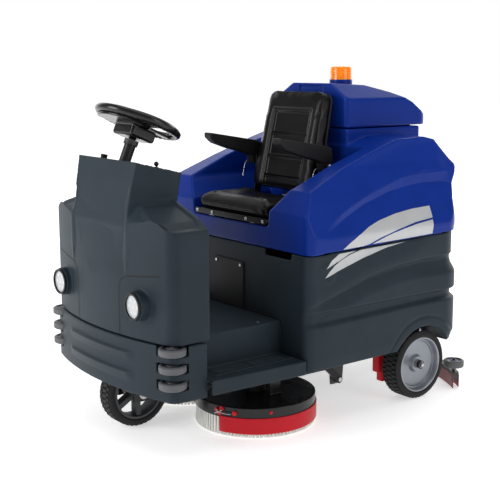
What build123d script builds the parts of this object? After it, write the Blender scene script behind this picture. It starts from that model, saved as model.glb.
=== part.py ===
from build123d import *
import math
import os

# Ride-on floor scrubber, in millimetres.
# +X is the driver's left, the machine faces -Y, +Z is up and the floor is Z = 0.
# While building, Y is measured from the rear axle; save() then centres the length on the origin.

# ---- Overall layout
CENTRE_Y = 483.2          # moves the middle of the machine's length onto Y = 0
WHEELBASE = 1210.0
BODY_HALF = 535.0         # half width of the lower body
BODY_FRONT = -700.0       # bulkhead behind the driver's feet
BODY_REAR = 250.0
BODY_BOTTOM = 250.0
SKIN = 8.0                # wall of the rotomoulded shells

# ---- Wheels
REAR_RADIUS = 160.0
REAR_WIDTH = 100.0
REAR_TRACK_HALF = 480.0
RIM_RADIUS = 128.0
AXLE_RADIUS = 12.0
DRIVE_RADIUS = 150.0
DRIVE_WIDTH = 90.0
DRIVE_RIM_RADIUS = 118.0
RUNNING = 0.05            # radial clearance of a shaft in its bore

# ---- Chassis
RAIL_IN, RAIL_OUT = 312.0, 350.0
RAIL_LOW, RAIL_HIGH = 262.0, 318.0
RAIL_FRONT, RAIL_REAR = -1300.0, 140.0
TUBE_WALL = 3.0
HEAD_LOW, HEAD_HIGH = 352.0, 366.0     # plate that carries the drive unit
SLEW_RADIUS = 90.0                     # bore of that plate

# ---- Front end
BUMPER_HALF = 467.0
BUMPER_CORNER = -1316.0
BUMPER_NOSE = -1388.0
BUMPER_REAR = -1165.0
BUMPER_REAR_HALF = 473.0
BUMPER_LOW, BUMPER_HIGH = 230.0, 451.0
BUMPER_WALL = 30.0
ROLLER_X, ROLLER_Y = 431.0, -1300.0
ROLLER_RADIUS = 56.0
ROLLER_HEIGHT = 34.0
ROLLER_CENTRES = (298.0, 365.0, 432.0)
ROLLER_PIN = 6.0
COWL_HALF = 462.0
COWL_CORNER = -1310.0
COWL_NOSE = -1382.0
COWL_REAR = -1140.0
COWL_LOW = 453.0
SHOULDER = 890.0
COLUMN_FOOT_Z, COLUMN_TOP_Z = 880.0, 1160.0
DASH_SLOPE = 13.8         # degrees that the top of the cowl falls towards the driver
DASH_Y, DASH_Z = -1216.5, 1119.5
DASH_SUNK = 15.0
LAMP_X, LAMP_Z = 297.0, 596.0
LAMP_RADIUS = 54.0
LAMP_FRONT = -1396.0

# ---- Steering
WHEEL_Y, WHEEL_Z = -1166.0, 1284.0
STEER_LEAN = 23.3         # degrees that the steering shaft leans to the driver
STEER_RIM = 168.0
STEER_GRIP = 16.0
SHAFT_RADIUS = 14.0

# ---- Footwell
FLOOR_Z = 447.0
FLOOR_HALF = 362.0
STEP_Z = 305.0
PEDAL_Y, PEDAL_Z = -1010.0, 464.0
PEDAL_PIN = 5.0

# ---- Upper body, tank and lid
SEAM_FRONT, SEAM_REAR = 745.0, 769.0   # height of the line where the body splits
SEAT_DECK = 838.0
BAY_REAR = -227.0
BLOCK_HALF = 250.0
BLOCK_TOP = 1232.0
TUB_FLOOR = 790.0
LID_LOW = 1235.0
LID_FRONT = -225.0
LID_HINGE_Y, LID_HINGE_Z = 264.0, 1221.0
BODY_HINGE_Y, BODY_HINGE_Z = 262.0, 756.0
BODY_HINGE_PIN = 6.0
BEACON_Y = -34.0

# ---- Seat
SEAT_FRONT = -702.0
BACK_LEAN = 13.0
BACK_Y, BACK_Z = -420.0, 935.0         # foot of the backrest's front face
BACK_PIVOT_Y, BACK_PIVOT_Z = -372.0, 905.0
ARM_PIVOT_Y, ARM_PIVOT_Z = -353.0, 1073.0

# ---- Scrub deck
BRUSH_X, BRUSH_Y = 262.0, -760.0
DECK_RADIUS = 262.0
SKIRT_FRONT = 344  # where each skirt starts, ahead of the brush
DECK_TOP = 130.0
BRUSH_RADIUS = 250.0
MOTOR_RADIUS = 46.0
DECK_ARM_Y, DECK_ARM_Z = -355.0, 118.0
TRUNNION_Y, TRUNNION_Z = -740.0, 198.0  # where the arms carry the deck

# ---- Squeegee
SQUEEGEE_HALF = 540.0
SQUEEGEE_MID, SQUEEGEE_TIP = 400.0, 238.0
SQUEEGEE_ARM_Y, SQUEEGEE_ARM_Z = 110.0, 190.0
SWIVEL_Y = 330.0
GUIDE_X, GUIDE_Y = 520.0, 240.0
GUIDE_RADIUS = 48.0


# ---- Building blocks
def box(x0, x1, y0, y1, z0, z1):
    return Pos((x0 + x1) / 2, (y0 + y1) / 2, (z0 + z1) / 2) * Box(x1 - x0, y1 - y0, z1 - z0)


def rod_x(x0, x1, y, z, radius):
    return Pos((x0 + x1) / 2, y, z) * Rot(0, 90, 0) * Cylinder(radius, x1 - x0)


def rod_y(x, y0, y1, z, radius):
    return Pos(x, (y0 + y1) / 2, z) * Rot(90, 0, 0) * Cylinder(radius, y1 - y0)


def rod_z(x, y, z0, z1, radius):
    return Pos(x, y, (z0 + z1) / 2) * Cylinder(radius, z1 - z0)


def outline(points):
    return make_face(Polyline(*points, close=True))


def prism_x(points, x0, x1):
    """Extrude a (Y, Z) outline from x0 to x1."""
    return extrude(Plane.YZ.offset(x0) * outline(points), x1 - x0)


def prism_y(points, y0, y1):
    """Extrude an (X, Z) outline from y0 to y1."""
    return extrude(Plane((0, y1, 0), (1, 0, 0), (0, -1, 0)) * outline(points), y1 - y0)


def prism_z(points, z0, z1):
    """Extrude an (X, Y) outline from z0 to z1."""
    return extrude(Pos(0, 0, z0) * outline(points), z1 - z0)


def mirrored(shape):
    return mirror(shape, Plane.YZ)


def both(shape):
    """The shape and its mirror image on the other side of the machine."""
    return [shape, mirrored(shape)]


def both_sides(points):
    """A closed outline from the points of its +X half, top to bottom."""
    return points + [(-x, y) for x, y in reversed(points)]


def save(name, *solids):
    shape = solids[0] if len(solids) == 1 else Compound(children=list(solids))
    export_step(shape.moved(Location((0, CENTRE_Y, 0))), f"parts/{name}.step")


# ---- Front end
def nose_face(half, corner_y, nose_y, rear_half, rear_y, corner_radius):
    """Plan of the front: a bowed nose, rounded corners and straight sides."""
    nose = ThreePointArc((-half, corner_y), (0, nose_y), (half, corner_y))
    sides = Polyline((half, corner_y), (rear_half, rear_y), (-rear_half, rear_y), (-half, corner_y))
    face = make_face(Curve() + [nose, sides])
    corners = face.vertices().sort_by(Axis.Y)[:2]
    return fillet(corners, corner_radius)


def bumper_block(inset, low, high):
    face = nose_face(BUMPER_HALF - inset, BUMPER_CORNER + inset, BUMPER_NOSE + inset,
                     BUMPER_REAR_HALF - inset, BUMPER_REAR, 42 - inset / 2)
    return extrude(Pos(0, 0, low) * face, high - low)


def front_bumper():
    shell = bumper_block(0, BUMPER_LOW, BUMPER_HIGH)
    shell -= bumper_block(BUMPER_WALL, BUMPER_LOW, BUMPER_HIGH) + box(
        -BUMPER_REAR_HALF + BUMPER_WALL, BUMPER_REAR_HALF - BUMPER_WALL,
        BUMPER_REAR - 1, BUMPER_REAR, BUMPER_LOW, BUMPER_HIGH)
    for side in (1, -1):
        boss = rod_z(side * ROLLER_X, ROLLER_Y, BUMPER_LOW, BUMPER_HIGH, 36)
        shell += boss & bumper_block(0, BUMPER_LOW, BUMPER_HIGH)
    for side in (1, -1):
        for z in ROLLER_CENTRES:
            low = z - ROLLER_HEIGHT / 2 - 3
            high = min(z + ROLLER_HEIGHT / 2 + 3, BUMPER_HIGH + 1)
            shell -= rod_z(side * ROLLER_X, ROLLER_Y, low, high, ROLLER_RADIUS + 7)
        shell -= rod_z(side * ROLLER_X, ROLLER_Y, BUMPER_LOW + 20, BUMPER_HIGH, ROLLER_PIN)
    return shell


def bumper_roller(side, z):
    low, high = z - ROLLER_HEIGHT / 2, z + ROLLER_HEIGHT / 2
    wheel = rod_z(side * ROLLER_X, ROLLER_Y, low, high, ROLLER_RADIUS)
    rims = wheel.edges().filter_by(GeomType.CIRCLE)
    wheel = fillet(rims, 5)
    dish = rod_z(side * ROLLER_X, ROLLER_Y, high - 4, high, 42) - rod_z(
        side * ROLLER_X, ROLLER_Y, high - 4, high, 34)
    return wheel - dish - rod_z(side * ROLLER_X, ROLLER_Y, low, high, ROLLER_PIN + RUNNING)


def cowl_lower(inset):
    """The bulging lower cowl: plan, front and side outlines cut from one block."""
    face = nose_face(COWL_HALF - inset, COWL_CORNER + inset, COWL_NOSE + inset,
                     COWL_HALF - 1 - inset, COWL_REAR - inset, 58 - inset)
    plan = extrude(Pos(0, 0, COWL_LOW - 2) * face, 560)
    front = prism_y(both_sides([
        (214 - inset, 992 - inset), (400 - inset, 928 - inset), (COWL_HALF - inset, SHOULDER - inset),
        (COWL_HALF - inset, COWL_LOW)]), -1500, -1100)
    side = prism_x([(COWL_NOSE + inset, COWL_LOW), (-1386 + inset, 560), (-1380 + inset, 720),
                    (-1368 + inset, 905 - inset), (-1290, 1000 - inset), (-1100, 1000 - inset),
                    (-1100, COWL_LOW)], -500, 500)
    return plan & front & side


def column_block(inset):
    """The upright part of the cowl, which widens towards the driver and upwards."""
    foot = Pos(0, 0, COLUMN_FOOT_Z) * outline(both_sides([
        (208 - inset, -1374 + inset), (216 - inset, COWL_REAR - inset)]))
    top = Pos(0, 0, COLUMN_TOP_Z) * outline(both_sides([
        (230 - inset, -1316 + inset), (254 - inset, -1110 - inset)]))
    return loft([foot, top])


def dash_plane(rise):
    lean = math.radians(DASH_SLOPE)
    up = (0, math.sin(lean), math.cos(lean))
    return Plane((0, DASH_Y + rise * up[1], DASH_Z + rise * up[2]), (1, 0, 0), up)


def dash_slab(low, high):
    return dash_plane((low + high) / 2) * Box(700, 500, high - low)


def steer_plane(along):
    """A plane square to the steering shaft, `along` it from the middle of the wheel."""
    lean = math.radians(STEER_LEAN)
    up = (0, math.sin(lean), math.cos(lean))
    return Plane((0, WHEEL_Y + along * up[1], WHEEL_Z + along * up[2]), (1, 0, 0), up)


def steer_rod(low, high, radius):
    return steer_plane((low + high) / 2) * Cylinder(radius, high - low)


def lamp_rod(side, y0, y1, radius):
    return rod_y(side * LAMP_X, y0, y1, LAMP_Z, radius)


def front_fairing():
    above = dash_slab(0, 200)
    shell = cowl_lower(0) + column_block(0) - above
    for side in (1, -1):
        shell += lamp_rod(side, LAMP_FRONT + 6, -1330, LAMP_RADIUS + 5)
    shell -= cowl_lower(6)
    shell -= column_block(6)
    shell -= box(-COWL_HALF + 6, COWL_HALF - 6, COWL_CORNER + 60, COWL_REAR - 6, COWL_LOW, COWL_LOW + 20)
    for side in (1, -1):
        shell -= lamp_rod(side, LAMP_FRONT - 10, -1300, LAMP_RADIUS)
    return shell


def dash_panel():
    panel = column_block(6) & dash_slab(-DASH_SUNK - 5, -DASH_SUNK)
    panel -= steer_rod(-340, -100, 24)
    panel -= dash_plane(-DASH_SUNK) * Pos(150, 40, 0) * Box(14, 70, 20)
    panel -= dash_plane(-DASH_SUNK) * Pos(-165, -21, 0) * Cylinder(5 + RUNNING, 30)
    panel -= dash_plane(-DASH_SUNK) * Pos(-90, 60, 0) * Cylinder(6 + RUNNING, 30)
    for x in (141, 159):
        panel += dash_plane(-DASH_SUNK - 16) * Pos(x, 60, 0) * Box(4, 20, 30)
    pin = dash_plane(-DASH_SUNK - 22) * Pos(150, 60, 0) * Rot(0, 90, 0) * Cylinder(3, 22)
    return [panel - pin, pin]


def direction_lever():
    barrel = dash_plane(-DASH_SUNK - 22) * Pos(150, 60, 0) * Rot(0, 90, 0) * Cylinder(6, 12)
    stem = dash_plane(-DASH_SUNK - 22) * Pos(150, 60, 0) * Rot(24, 0, 0) * Pos(0, 0, 26) * Cylinder(3.5, 52)
    knob = dash_plane(-DASH_SUNK - 22) * Pos(150, 60, 0) * Rot(24, 0, 0) * Pos(0, 0, 56) * Sphere(10)
    bore = dash_plane(-DASH_SUNK - 22) * Pos(150, 60, 0) * Rot(0, 90, 0) * Cylinder(3 + RUNNING, 14)
    return barrel + stem + knob - bore


def speed_knob():
    stem = dash_plane(-DASH_SUNK) * Pos(-165, -21, -8) * Cylinder(5, 22)
    knob = dash_plane(-DASH_SUNK) * Pos(-165, -21, 18.5) * Cylinder(14, 35)
    flats = dash_plane(-DASH_SUNK) * Pos(-165, -36, 26) * Box(4, 12, 22)
    return stem + knob - flats


def key_switch():
    barrel = dash_plane(-DASH_SUNK) * Pos(-90, 60, -9) * Cylinder(6, 22)
    rim = dash_plane(-DASH_SUNK) * Pos(-90, 60, 2.5) * Cylinder(11, 4)
    blade = dash_plane(-DASH_SUNK) * Pos(-90, 60, 10) * Box(3, 14, 14)
    return barrel + rim + blade


def headlight_bezels():
    ring = lamp_rod(1, LAMP_FRONT, LAMP_FRONT + 58, LAMP_RADIUS)
    ring -= lamp_rod(1, LAMP_FRONT, LAMP_FRONT + 50, LAMP_RADIUS - 8)
    return both(ring)


def headlight_lenses():
    return both(lamp_rod(1, LAMP_FRONT + 6, LAMP_FRONT + 16, LAMP_RADIUS - 8))


# ---- Steering
def steering_column():
    tube = steer_rod(-330, -80, 24) + steer_rod(-100, -80, 30)
    return tube - steer_rod(-340, -70, SHAFT_RADIUS + RUNNING)


def steering_rim():
    return steer_plane(0) * Torus(STEER_RIM, STEER_GRIP)


def steering_hub():
    boss = steer_plane(-46) * Box(150, 120, 52)
    boss = fillet(boss.edges(), 12)
    boss += steer_plane(-14) * Cylinder(58, 20)
    shaft = steer_rod(-320, -60, SHAFT_RADIUS)
    spokes = steer_plane(-8) * Box(2 * STEER_RIM, 46, 12)
    spokes += steer_plane(-8) * Pos(0, STEER_RIM / 2, 0) * Box(46, STEER_RIM, 12)
    pad = Pos(0, -103, 0) * Box(210, 130, 36) & Cylinder(STEER_RIM - 3, 36)
    return boss + shaft + spokes + steer_plane(-10) * pad - steering_rim()


# ---- Drive unit
def drive_fork():
    crown = rod_z(0, -WHEELBASE, 328, 345, 104)
    neck = rod_z(0, -WHEELBASE, 345, 369, SLEW_RADIUS - RUNNING)
    flange = rod_z(0, -WHEELBASE, 369, 378, 112)
    legs = Part() + [box(s - 7, s + 7, -WHEELBASE - 45, -WHEELBASE + 45, 118, 330) for s in (-66, 66)]
    axle = rod_x(-73, 73, -WHEELBASE, DRIVE_RADIUS, AXLE_RADIUS)
    return crown + neck + flange + legs + axle


def drive_motor():
    body = rod_z(0, -WHEELBASE, 378, 545, 62)
    return fillet(body.edges().filter_by(GeomType.CIRCLE).sort_by(Axis.Z)[-1], 8)


def tyre(x0, x1, y, radius, bore, rounding):
    ring = rod_x(x0, x1, y, radius, radius)
    ring = fillet(ring.edges().filter_by(GeomType.CIRCLE), rounding)
    return ring - rod_x(x0, x1, y, radius, bore)


def drive_rim():
    half = DRIVE_WIDTH / 2 - 4
    y, z = -WHEELBASE, DRIVE_RADIUS
    ring = rod_x(-half, half, y, z, DRIVE_RIM_RADIUS) - rod_x(-half, half, y, z, DRIVE_RIM_RADIUS - 10)
    hub = rod_x(-half - 8, half + 8, y, z, 34)
    spokes = Part()
    for n in range(6):
        spoke = Rot(60 * n, 0, 0) * box(-12, 30, -11, 11, 20, DRIVE_RIM_RADIUS - 5)
        spokes += Pos(0, y, z) * spoke
    return ring + hub + spokes - rod_x(-60, 60, y, z, AXLE_RADIUS + RUNNING)


# ---- Rear wheels
def rear_rim():
    z = REAR_RADIUS
    inner, outer = REAR_TRACK_HALF - 46, REAR_TRACK_HALF + 46
    rim = rod_x(inner, outer, 0, z, RIM_RADIUS) - rod_x(inner, outer, 0, z, RIM_RADIUS - 12)
    rim += rod_x(488, 496, 0, z, RIM_RADIUS - 6)
    rim += rod_x(440, 518, 0, z, 30)
    return rim - rod_x(430, 530, 0, z, AXLE_RADIUS + RUNNING)


def rear_axles():
    plate = box(RAIL_OUT, RAIL_OUT + 12, -60, 60, 108, RAIL_HIGH)
    shaft = rod_x(RAIL_OUT + 12, 536, 0, REAR_RADIUS, AXLE_RADIUS)
    shaft += rod_x(RAIL_OUT + 12, 434, 0, REAR_RADIUS, 24)
    nut = Pos(520, 0, REAR_RADIUS) * Rot(0, 90, 0) * extrude(RegularPolygon(21, 6), 12)
    return both(plate + shaft + nut)


# ---- Chassis
def tube(x0, x1, y0, y1, z0, z1, along):
    """A rectangular tube that is open at the ends of its long axis."""
    grow = [-TUBE_WALL, -TUBE_WALL, -TUBE_WALL]
    grow["XYZ".index(along)] = 1
    hollow = box(x0 - grow[0], x1 + grow[0], y0 - grow[1], y1 + grow[1], z0 - grow[2], z1 + grow[2])
    return box(x0, x1, y0, y1, z0, z1) - hollow


def chassis_frame():
    frame = Part()
    for side in (1, -1):
        x0, x1 = sorted((side * RAIL_IN, side * RAIL_OUT))
        frame += tube(x0, x1, RAIL_FRONT, RAIL_REAR, RAIL_LOW, RAIL_HIGH, "Y")
        for y in (RAIL_FRONT, -1060):
            frame += tube(x0, x1, y, y + 40, RAIL_HIGH, HEAD_LOW, "Z")
        mount = box(x0, x1, BUMPER_NOSE, RAIL_FRONT, RAIL_LOW, RAIL_HIGH)
        frame += mount & bumper_block(BUMPER_WALL, BUMPER_LOW, BUMPER_HIGH)
    for y in (-1050, -480, 90):
        frame += tube(-RAIL_IN, RAIL_IN, y, y + 40, RAIL_LOW, RAIL_HIGH, "X")
    frame += box(-RAIL_OUT, RAIL_OUT, RAIL_FRONT - 10, -1020, HEAD_LOW, HEAD_HIGH)
    frame -= rod_z(0, -WHEELBASE, HEAD_LOW, HEAD_HIGH, SLEW_RADIUS)
    for side in (1, -1):
        x0, x1 = sorted((side * 336, side * 346))
        hanger = [(-402, RAIL_LOW), (-308, RAIL_LOW), (-322, 96), (-388, 96)]
        frame += prism_x(hanger, x0, x1)
        x0, x1 = sorted((side * 28, side * 38))
        lug = [(88, RAIL_LOW), (132, RAIL_LOW), (128, 172), (92, 172)]
        frame += prism_x(lug, x0, x1)
    frame -= rod_x(-346, 346, DECK_ARM_Y, DECK_ARM_Z, 10)
    frame -= rod_x(-38, 38, SQUEEGEE_ARM_Y, SQUEEGEE_ARM_Z, 8)
    return frame


def pivot_pins():
    """Fixed pins of the bumper rollers, the deck arms and the squeegee arm."""
    pins = both(rod_z(ROLLER_X, ROLLER_Y, BUMPER_LOW + 20, BUMPER_HIGH, ROLLER_PIN))
    pins += both(rod_x(336, 370, DECK_ARM_Y, DECK_ARM_Z, 10))
    return pins + [rod_x(-42, 42, SQUEEGEE_ARM_Y, SQUEEGEE_ARM_Z, 8)]


# ---- Footwell
def floor_pan():
    front, rear = COWL_REAR, BODY_FRONT - 1
    pan = box(-FLOOR_HALF, FLOOR_HALF, front, rear, FLOOR_Z - SKIN, FLOOR_Z)
    for side in (1, -1):
        x0, x1 = sorted((side * (FLOOR_HALF - SKIN), side * FLOOR_HALF))
        pan += box(x0, x1, BUMPER_REAR, rear, STEP_Z - SKIN, FLOOR_Z)
        step = [(side * (FLOOR_HALF - SKIN), BUMPER_REAR), (side * 508, BUMPER_REAR),
                (side * 530, rear), (side * (FLOOR_HALF - SKIN), rear)]
        sill = [(side * 498, BUMPER_REAR), (side * 508, BUMPER_REAR), (side * 530, rear), (side * 520, rear)]
        pan += prism_z(step, STEP_Z - SKIN, STEP_Z)
        pan += prism_z(sill, 245, STEP_Z)
        for n in range(5):
            groove_x = side * (400 + 20 * n)
            pan -= box(groove_x - 3, groove_x + 3, -1130, -760, STEP_Z - 2, STEP_Z)
    return pan


def pedal_bracket(x):
    cheeks = Part()
    for side in (-36, 36):
        cheeks += box(x + side - 3, x + side + 3, PEDAL_Y - 14, PEDAL_Y + 14, FLOOR_Z, PEDAL_Z + 12)
    return cheeks + box(x - 36, x + 36, PEDAL_Y - 14, PEDAL_Y + 14, FLOOR_Z, FLOOR_Z + 3)


def pedal_pivots():
    solids = []
    for x in (-150, -40):
        pin = rod_x(x - 39, x + 39, PEDAL_Y, PEDAL_Z, PEDAL_PIN)
        solids += [pedal_bracket(x) - pin, pin]
    return solids


def pedal(x, length, width):
    barrel = rod_x(x - 31, x + 31, PEDAL_Y, PEDAL_Z, 10)
    plate = Pos(x, PEDAL_Y, PEDAL_Z) * Rot(-38, 0, 0) * box(-width / 2, width / 2, -length, 0, 2, 10)
    return barrel + plate - rod_x(x - 40, x + 40, PEDAL_Y, PEDAL_Z, PEDAL_PIN + RUNNING)


# ---- Lower body
def rounded_plan(half, front, rear, front_radius, rear_radius):
    face = outline([(half, front), (half, rear), (-half, rear), (-half, front)])
    face = fillet(face.vertices().sort_by(Axis.Y)[:2], front_radius)
    return fillet(face.vertices().sort_by(Axis.Y)[-2:], rear_radius)


def above_seam(gap):
    """Everything above the sloping line where the body splits."""
    return prism_x([(BODY_FRONT - 60, SEAM_FRONT + gap - 1.5), (BODY_REAR + 100, SEAM_REAR + gap + 2.5),
                    (BODY_REAR + 100, 1700), (BODY_FRONT - 60, 1700)], -700, 700)


def body_block(inset, low, high):
    face = rounded_plan(BODY_HALF - inset, BODY_FRONT + inset, BODY_REAR - inset, 45 - inset, 120 - inset)
    return extrude(Pos(0, 0, low) * face, high - low)


def lower_body():
    shell = body_block(0, BODY_BOTTOM, 800) - body_block(SKIN, BODY_BOTTOM, 800)
    shell += body_block(SKIN, 330, 338)
    shell += box(-BODY_HALF + SKIN, BODY_HALF - SKIN, -266, -260, 338, 700)
    for side in (1, -1):
        x0, x1 = sorted((side * 412, side * (BODY_HALF - 1)))
        well = rod_x(x0, x1, 0, REAR_RADIUS, 193)
        shell += well - box(-600, 600, -300, 300, -50, BODY_BOTTOM)
        x0, x1 = sorted((side * 420, side * 560))
        shell -= rod_x(x0, x1, 0, REAR_RADIUS, 185)
        x0, x1 = sorted((side * 255, side * 426))
        shell -= box(x0, x1, BODY_FRONT - 5, BODY_FRONT + 20, 716, 800)
        x0, x1 = sorted((side * (RAIL_IN - 4), side * (RAIL_OUT + 4)))
        shell -= box(x0, x1, BODY_FRONT - 5, BODY_FRONT + 20, BODY_BOTTOM, RAIL_HIGH + 4)
    shell -= box(-95, 95, BODY_FRONT - 5, BODY_FRONT + 20, 462, 650)
    shell -= above_seam(-1)
    for x in (-250, 150, 190, -210):
        shell += box(x, x + 18, BODY_REAR - 4, BODY_HINGE_Y + 10, BODY_HINGE_Z - 12, BODY_HINGE_Z + 8)
    pins = [rod_x(x, x + 58, BODY_HINGE_Y, BODY_HINGE_Z, BODY_HINGE_PIN) for x in (-250, 150)]
    return [shell - pins[0] - pins[1]] + pins


def bulkhead_panel():
    return box(-105, 105, BODY_FRONT - 6, BODY_FRONT, 452, 660)


def cover_screws():
    heads = [rod_y(x, BODY_FRONT - 10, BODY_FRONT - 6, 645, 6) for x in (-88, 88)]
    return heads + both(rod_z(330, -800, FLOOR_Z, FLOOR_Z + 4, 7))


def batteries():
    solids = []
    for x in (-390, -130, 130, 390):
        case = fillet(box(x - 122, x + 122, -680, -280, 340, 600).edges().filter_by(Axis.Z), 8)
        case += box(x - 114, x + 114, -672, -288, 600, 612)
        for y in (-640, -320):
            case += rod_z(x - 80, y, 612, 630, 9)
        solids.append(case)
    return solids


def solution_tank():
    tank = box(-404, 404, -252, 236, 340, 735)
    tank = fillet(tank.edges().filter_by(Axis.Z), 30)
    tank -= box(-397, 397, -245, 229, 347, 728)
    return tank - rod_z(250, 120, 720, 740, 45)


# ---- Upper body
def wing_block(inset):
    """Outer form of the upper body: side, front and plan outlines cut from one block."""
    side = prism_x([
        (BODY_FRONT + inset, 700), (BODY_FRONT + inset, 905 - inset), (-653, 1000 - inset),
        (-441, 1088 - inset), (-226, 1161 - inset), (-113, 1194 - inset), (61, 1198 - inset),
        (125, 1184 - inset), (BODY_REAR - inset, 1060), (BODY_REAR - inset, 700)], -600, 600)
    front = prism_y(both_sides([
        (452 - inset, 1300), (458 - inset, 1090), (548 - inset, 815), (540 - inset, 700)]), -720, 270)
    plan = rounded_plan(548 - inset, BODY_FRONT + inset, BODY_REAR - inset, 45, 120)
    return side & front & extrude(Pos(0, 0, 700) * plan, 600)


def tank_block(inset):
    return box(-BLOCK_HALF + inset, BLOCK_HALF - inset, LID_FRONT + inset, BODY_REAR - inset, 900, BLOCK_TOP)


def seat_bay(grow):
    return prism_y(both_sides([
        (372 + grow, 1300), (360 + grow, 1000 + grow / 2), (278 + grow, 905), (270 + grow, SEAT_DECK - grow)]),
        BODY_FRONT - 20, BAY_REAR + grow - 4)


def recovery_tank():
    outer = wing_block(0) + tank_block(0) - seat_bay(0)
    inner = wing_block(SKIN) + box(-BLOCK_HALF + 6, BLOCK_HALF - 6, LID_FRONT + 6, BODY_REAR - 6, 900, 1180)
    shell = outer - (inner - seat_bay(SKIN))
    tub = box(-236, 236, -215, 238, TUB_FLOOR, BLOCK_TOP) - box(-230, 230, -209, 232, TUB_FLOOR + 6, BLOCK_TOP)
    shell += tub
    shell -= box(-230, 230, -209, 232, TUB_FLOOR + 6, BLOCK_TOP + 5)
    shell = shell & above_seam(0)
    for side in (1, -1):
        for x in (124, 176):
            shell += box(side * x - 4, side * x + 4, BODY_REAR - 4, LID_HINGE_Y + 11,
                         LID_HINGE_Z - 11, LID_HINGE_Z + 10)
    pins = both(rod_x(120, 180, LID_HINGE_Y, LID_HINGE_Z, 5))
    for x in (-231, 169):
        shell += rod_x(x, x + 20, BODY_HINGE_Y, BODY_HINGE_Z, 10)
        shell += box(x, x + 20, BODY_HINGE_Y - 10, BODY_HINGE_Y + 10, BODY_HINGE_Z, 800)
        shell += box(x, x + 20, BODY_REAR - 4, BODY_HINGE_Y + 10, 775, 800)
        shell -= rod_x(x, x + 20, BODY_HINGE_Y, BODY_HINGE_Z, BODY_HINGE_PIN + RUNNING)
    return [shell - pins[0] - pins[1]] + pins


def tank_lid_block(inset):
    side = prism_x([
        (LID_FRONT + inset, LID_LOW), (LID_FRONT + inset, 1434 - inset), (-20, 1424 - inset),
        (90, 1392 - inset), (200, 1345 - inset), (292 - inset, 1285 - inset), (318 - inset, LID_LOW)], -300, 300)
    front = prism_y(both_sides([
        (126 - inset / 2, 1436 - inset), (BLOCK_HALF - inset, 1365 - inset), (BLOCK_HALF - inset, LID_LOW)]),
        -240, 330)
    plan = rounded_plan(BLOCK_HALF - inset, LID_FRONT + inset, 318 - inset, 24, 70)
    return side & front & extrude(Pos(0, 0, LID_LOW) * plan, 220)


def tank_lid():
    lid = tank_lid_block(0) - tank_lid_block(7)
    recess = box(-80, 80, LID_FRONT - 5, LID_FRONT + 5, 1385, 1422)
    lid -= recess
    for side in (1, -1):
        lug = rod_x(side * 150 - 18, side * 150 + 18, LID_HINGE_Y, LID_HINGE_Z, 10)
        lug += box(side * 150 - 18, side * 150 + 18, LID_HINGE_Y - 10, LID_HINGE_Y + 10,
                   LID_HINGE_Z, LID_LOW + 4)
        lug += box(side * 150 - 18, side * 150 + 18, LID_HINGE_Y - 10, 314, LID_LOW, LID_LOW + 6)
        lid += lug
    return lid - rod_x(-190, 190, LID_HINGE_Y, LID_HINGE_Z, 5 + RUNNING)


def beacon_base():
    return rod_z(0, BEACON_Y, 1380, 1448, 54) - tank_lid_block(0)


def beacon_lens():
    lens = rod_z(0, BEACON_Y, 1448, 1510, 51)
    return fillet(lens.edges().filter_by(GeomType.CIRCLE).sort_by(Axis.Z)[-1], 14)


def vacuum_motor():
    return rod_z(0, -360, 690, 780, 72) + rod_z(0, -360, 780, SEAT_DECK - SKIN, 52)


# ---- Seat
def seat_rails():
    return both(box(135, 165, SEAT_FRONT + 12, -330, SEAT_DECK, SEAT_DECK + 14))


def seat_pan():
    pan = box(-262, 262, SEAT_FRONT, -330, 853, 861)
    for side in (1, -1):
        x0, x1 = sorted((side * 244, side * 250))
        ear = [(-410, 858), (-345, 858), (-352, BACK_PIVOT_Z + 18), (-392, BACK_PIVOT_Z + 18)]
        pan += prism_x(ear, x0, x1)
    pins = both(rod_x(230, 254, BACK_PIVOT_Y, BACK_PIVOT_Z, 8))
    return [pan - pins[0] - pins[1]] + pins


def seat_cushion():
    pad = box(-250, 250, SEAT_FRONT + 4, -412, 861, 940)
    pad = fillet(pad.edges().filter_by(Axis.Z), 30)
    return fillet(pad.faces().sort_by(Axis.Z)[-1].edges(), 22)


def back_plane(behind):
    """The plane of the backrest's front face, moved back by `behind`."""
    lean = math.radians(BACK_LEAN)
    rear = (0, math.cos(lean), -math.sin(lean))
    return Plane((0, BACK_Y + behind * rear[1], BACK_Z + behind * rear[2]), (-1, 0, 0), rear)


def back_pad(behind, thickness, half_low, half_high, low, high, corner):
    face = outline([(-half_low, low), (half_low, low), (half_high, high), (-half_high, high)])
    face = fillet(face.vertices(), corner)
    return extrude(back_plane(behind) * face, thickness)


def backrest_cushion():
    return back_pad(0, 52, 216, 192, 18, 482, 48)


def backrest_shell():
    shell = back_pad(52, 12, 216, 188, 44, 478, 46)
    for side in (1, -1):
        x0, x1 = sorted((side * 218, side * 224))
        strap = [(-392, 888), (-350, 888), (-322, 1020), (-318, 1095), (-372, 1095), (-380, 960)]
        strap = prism_x(strap, x0, x1)
        x0, x1 = sorted((side * 224, side * 243))
        shell += strap + rod_x(x0, x1, BACK_PIVOT_Y, BACK_PIVOT_Z, 18)
        x0, x1 = sorted((side * 200, side * 220))
        shell += box(x0, x1, -345, -320, 1020, 1040)
    shell -= backrest_cushion()
    shell -= rod_x(-260, 260, BACK_PIVOT_Y, BACK_PIVOT_Z, 8 + RUNNING)
    pins = both(rod_x(218, 262, ARM_PIVOT_Y, ARM_PIVOT_Z, 6))
    return [shell - pins[0] - pins[1]] + pins


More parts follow.
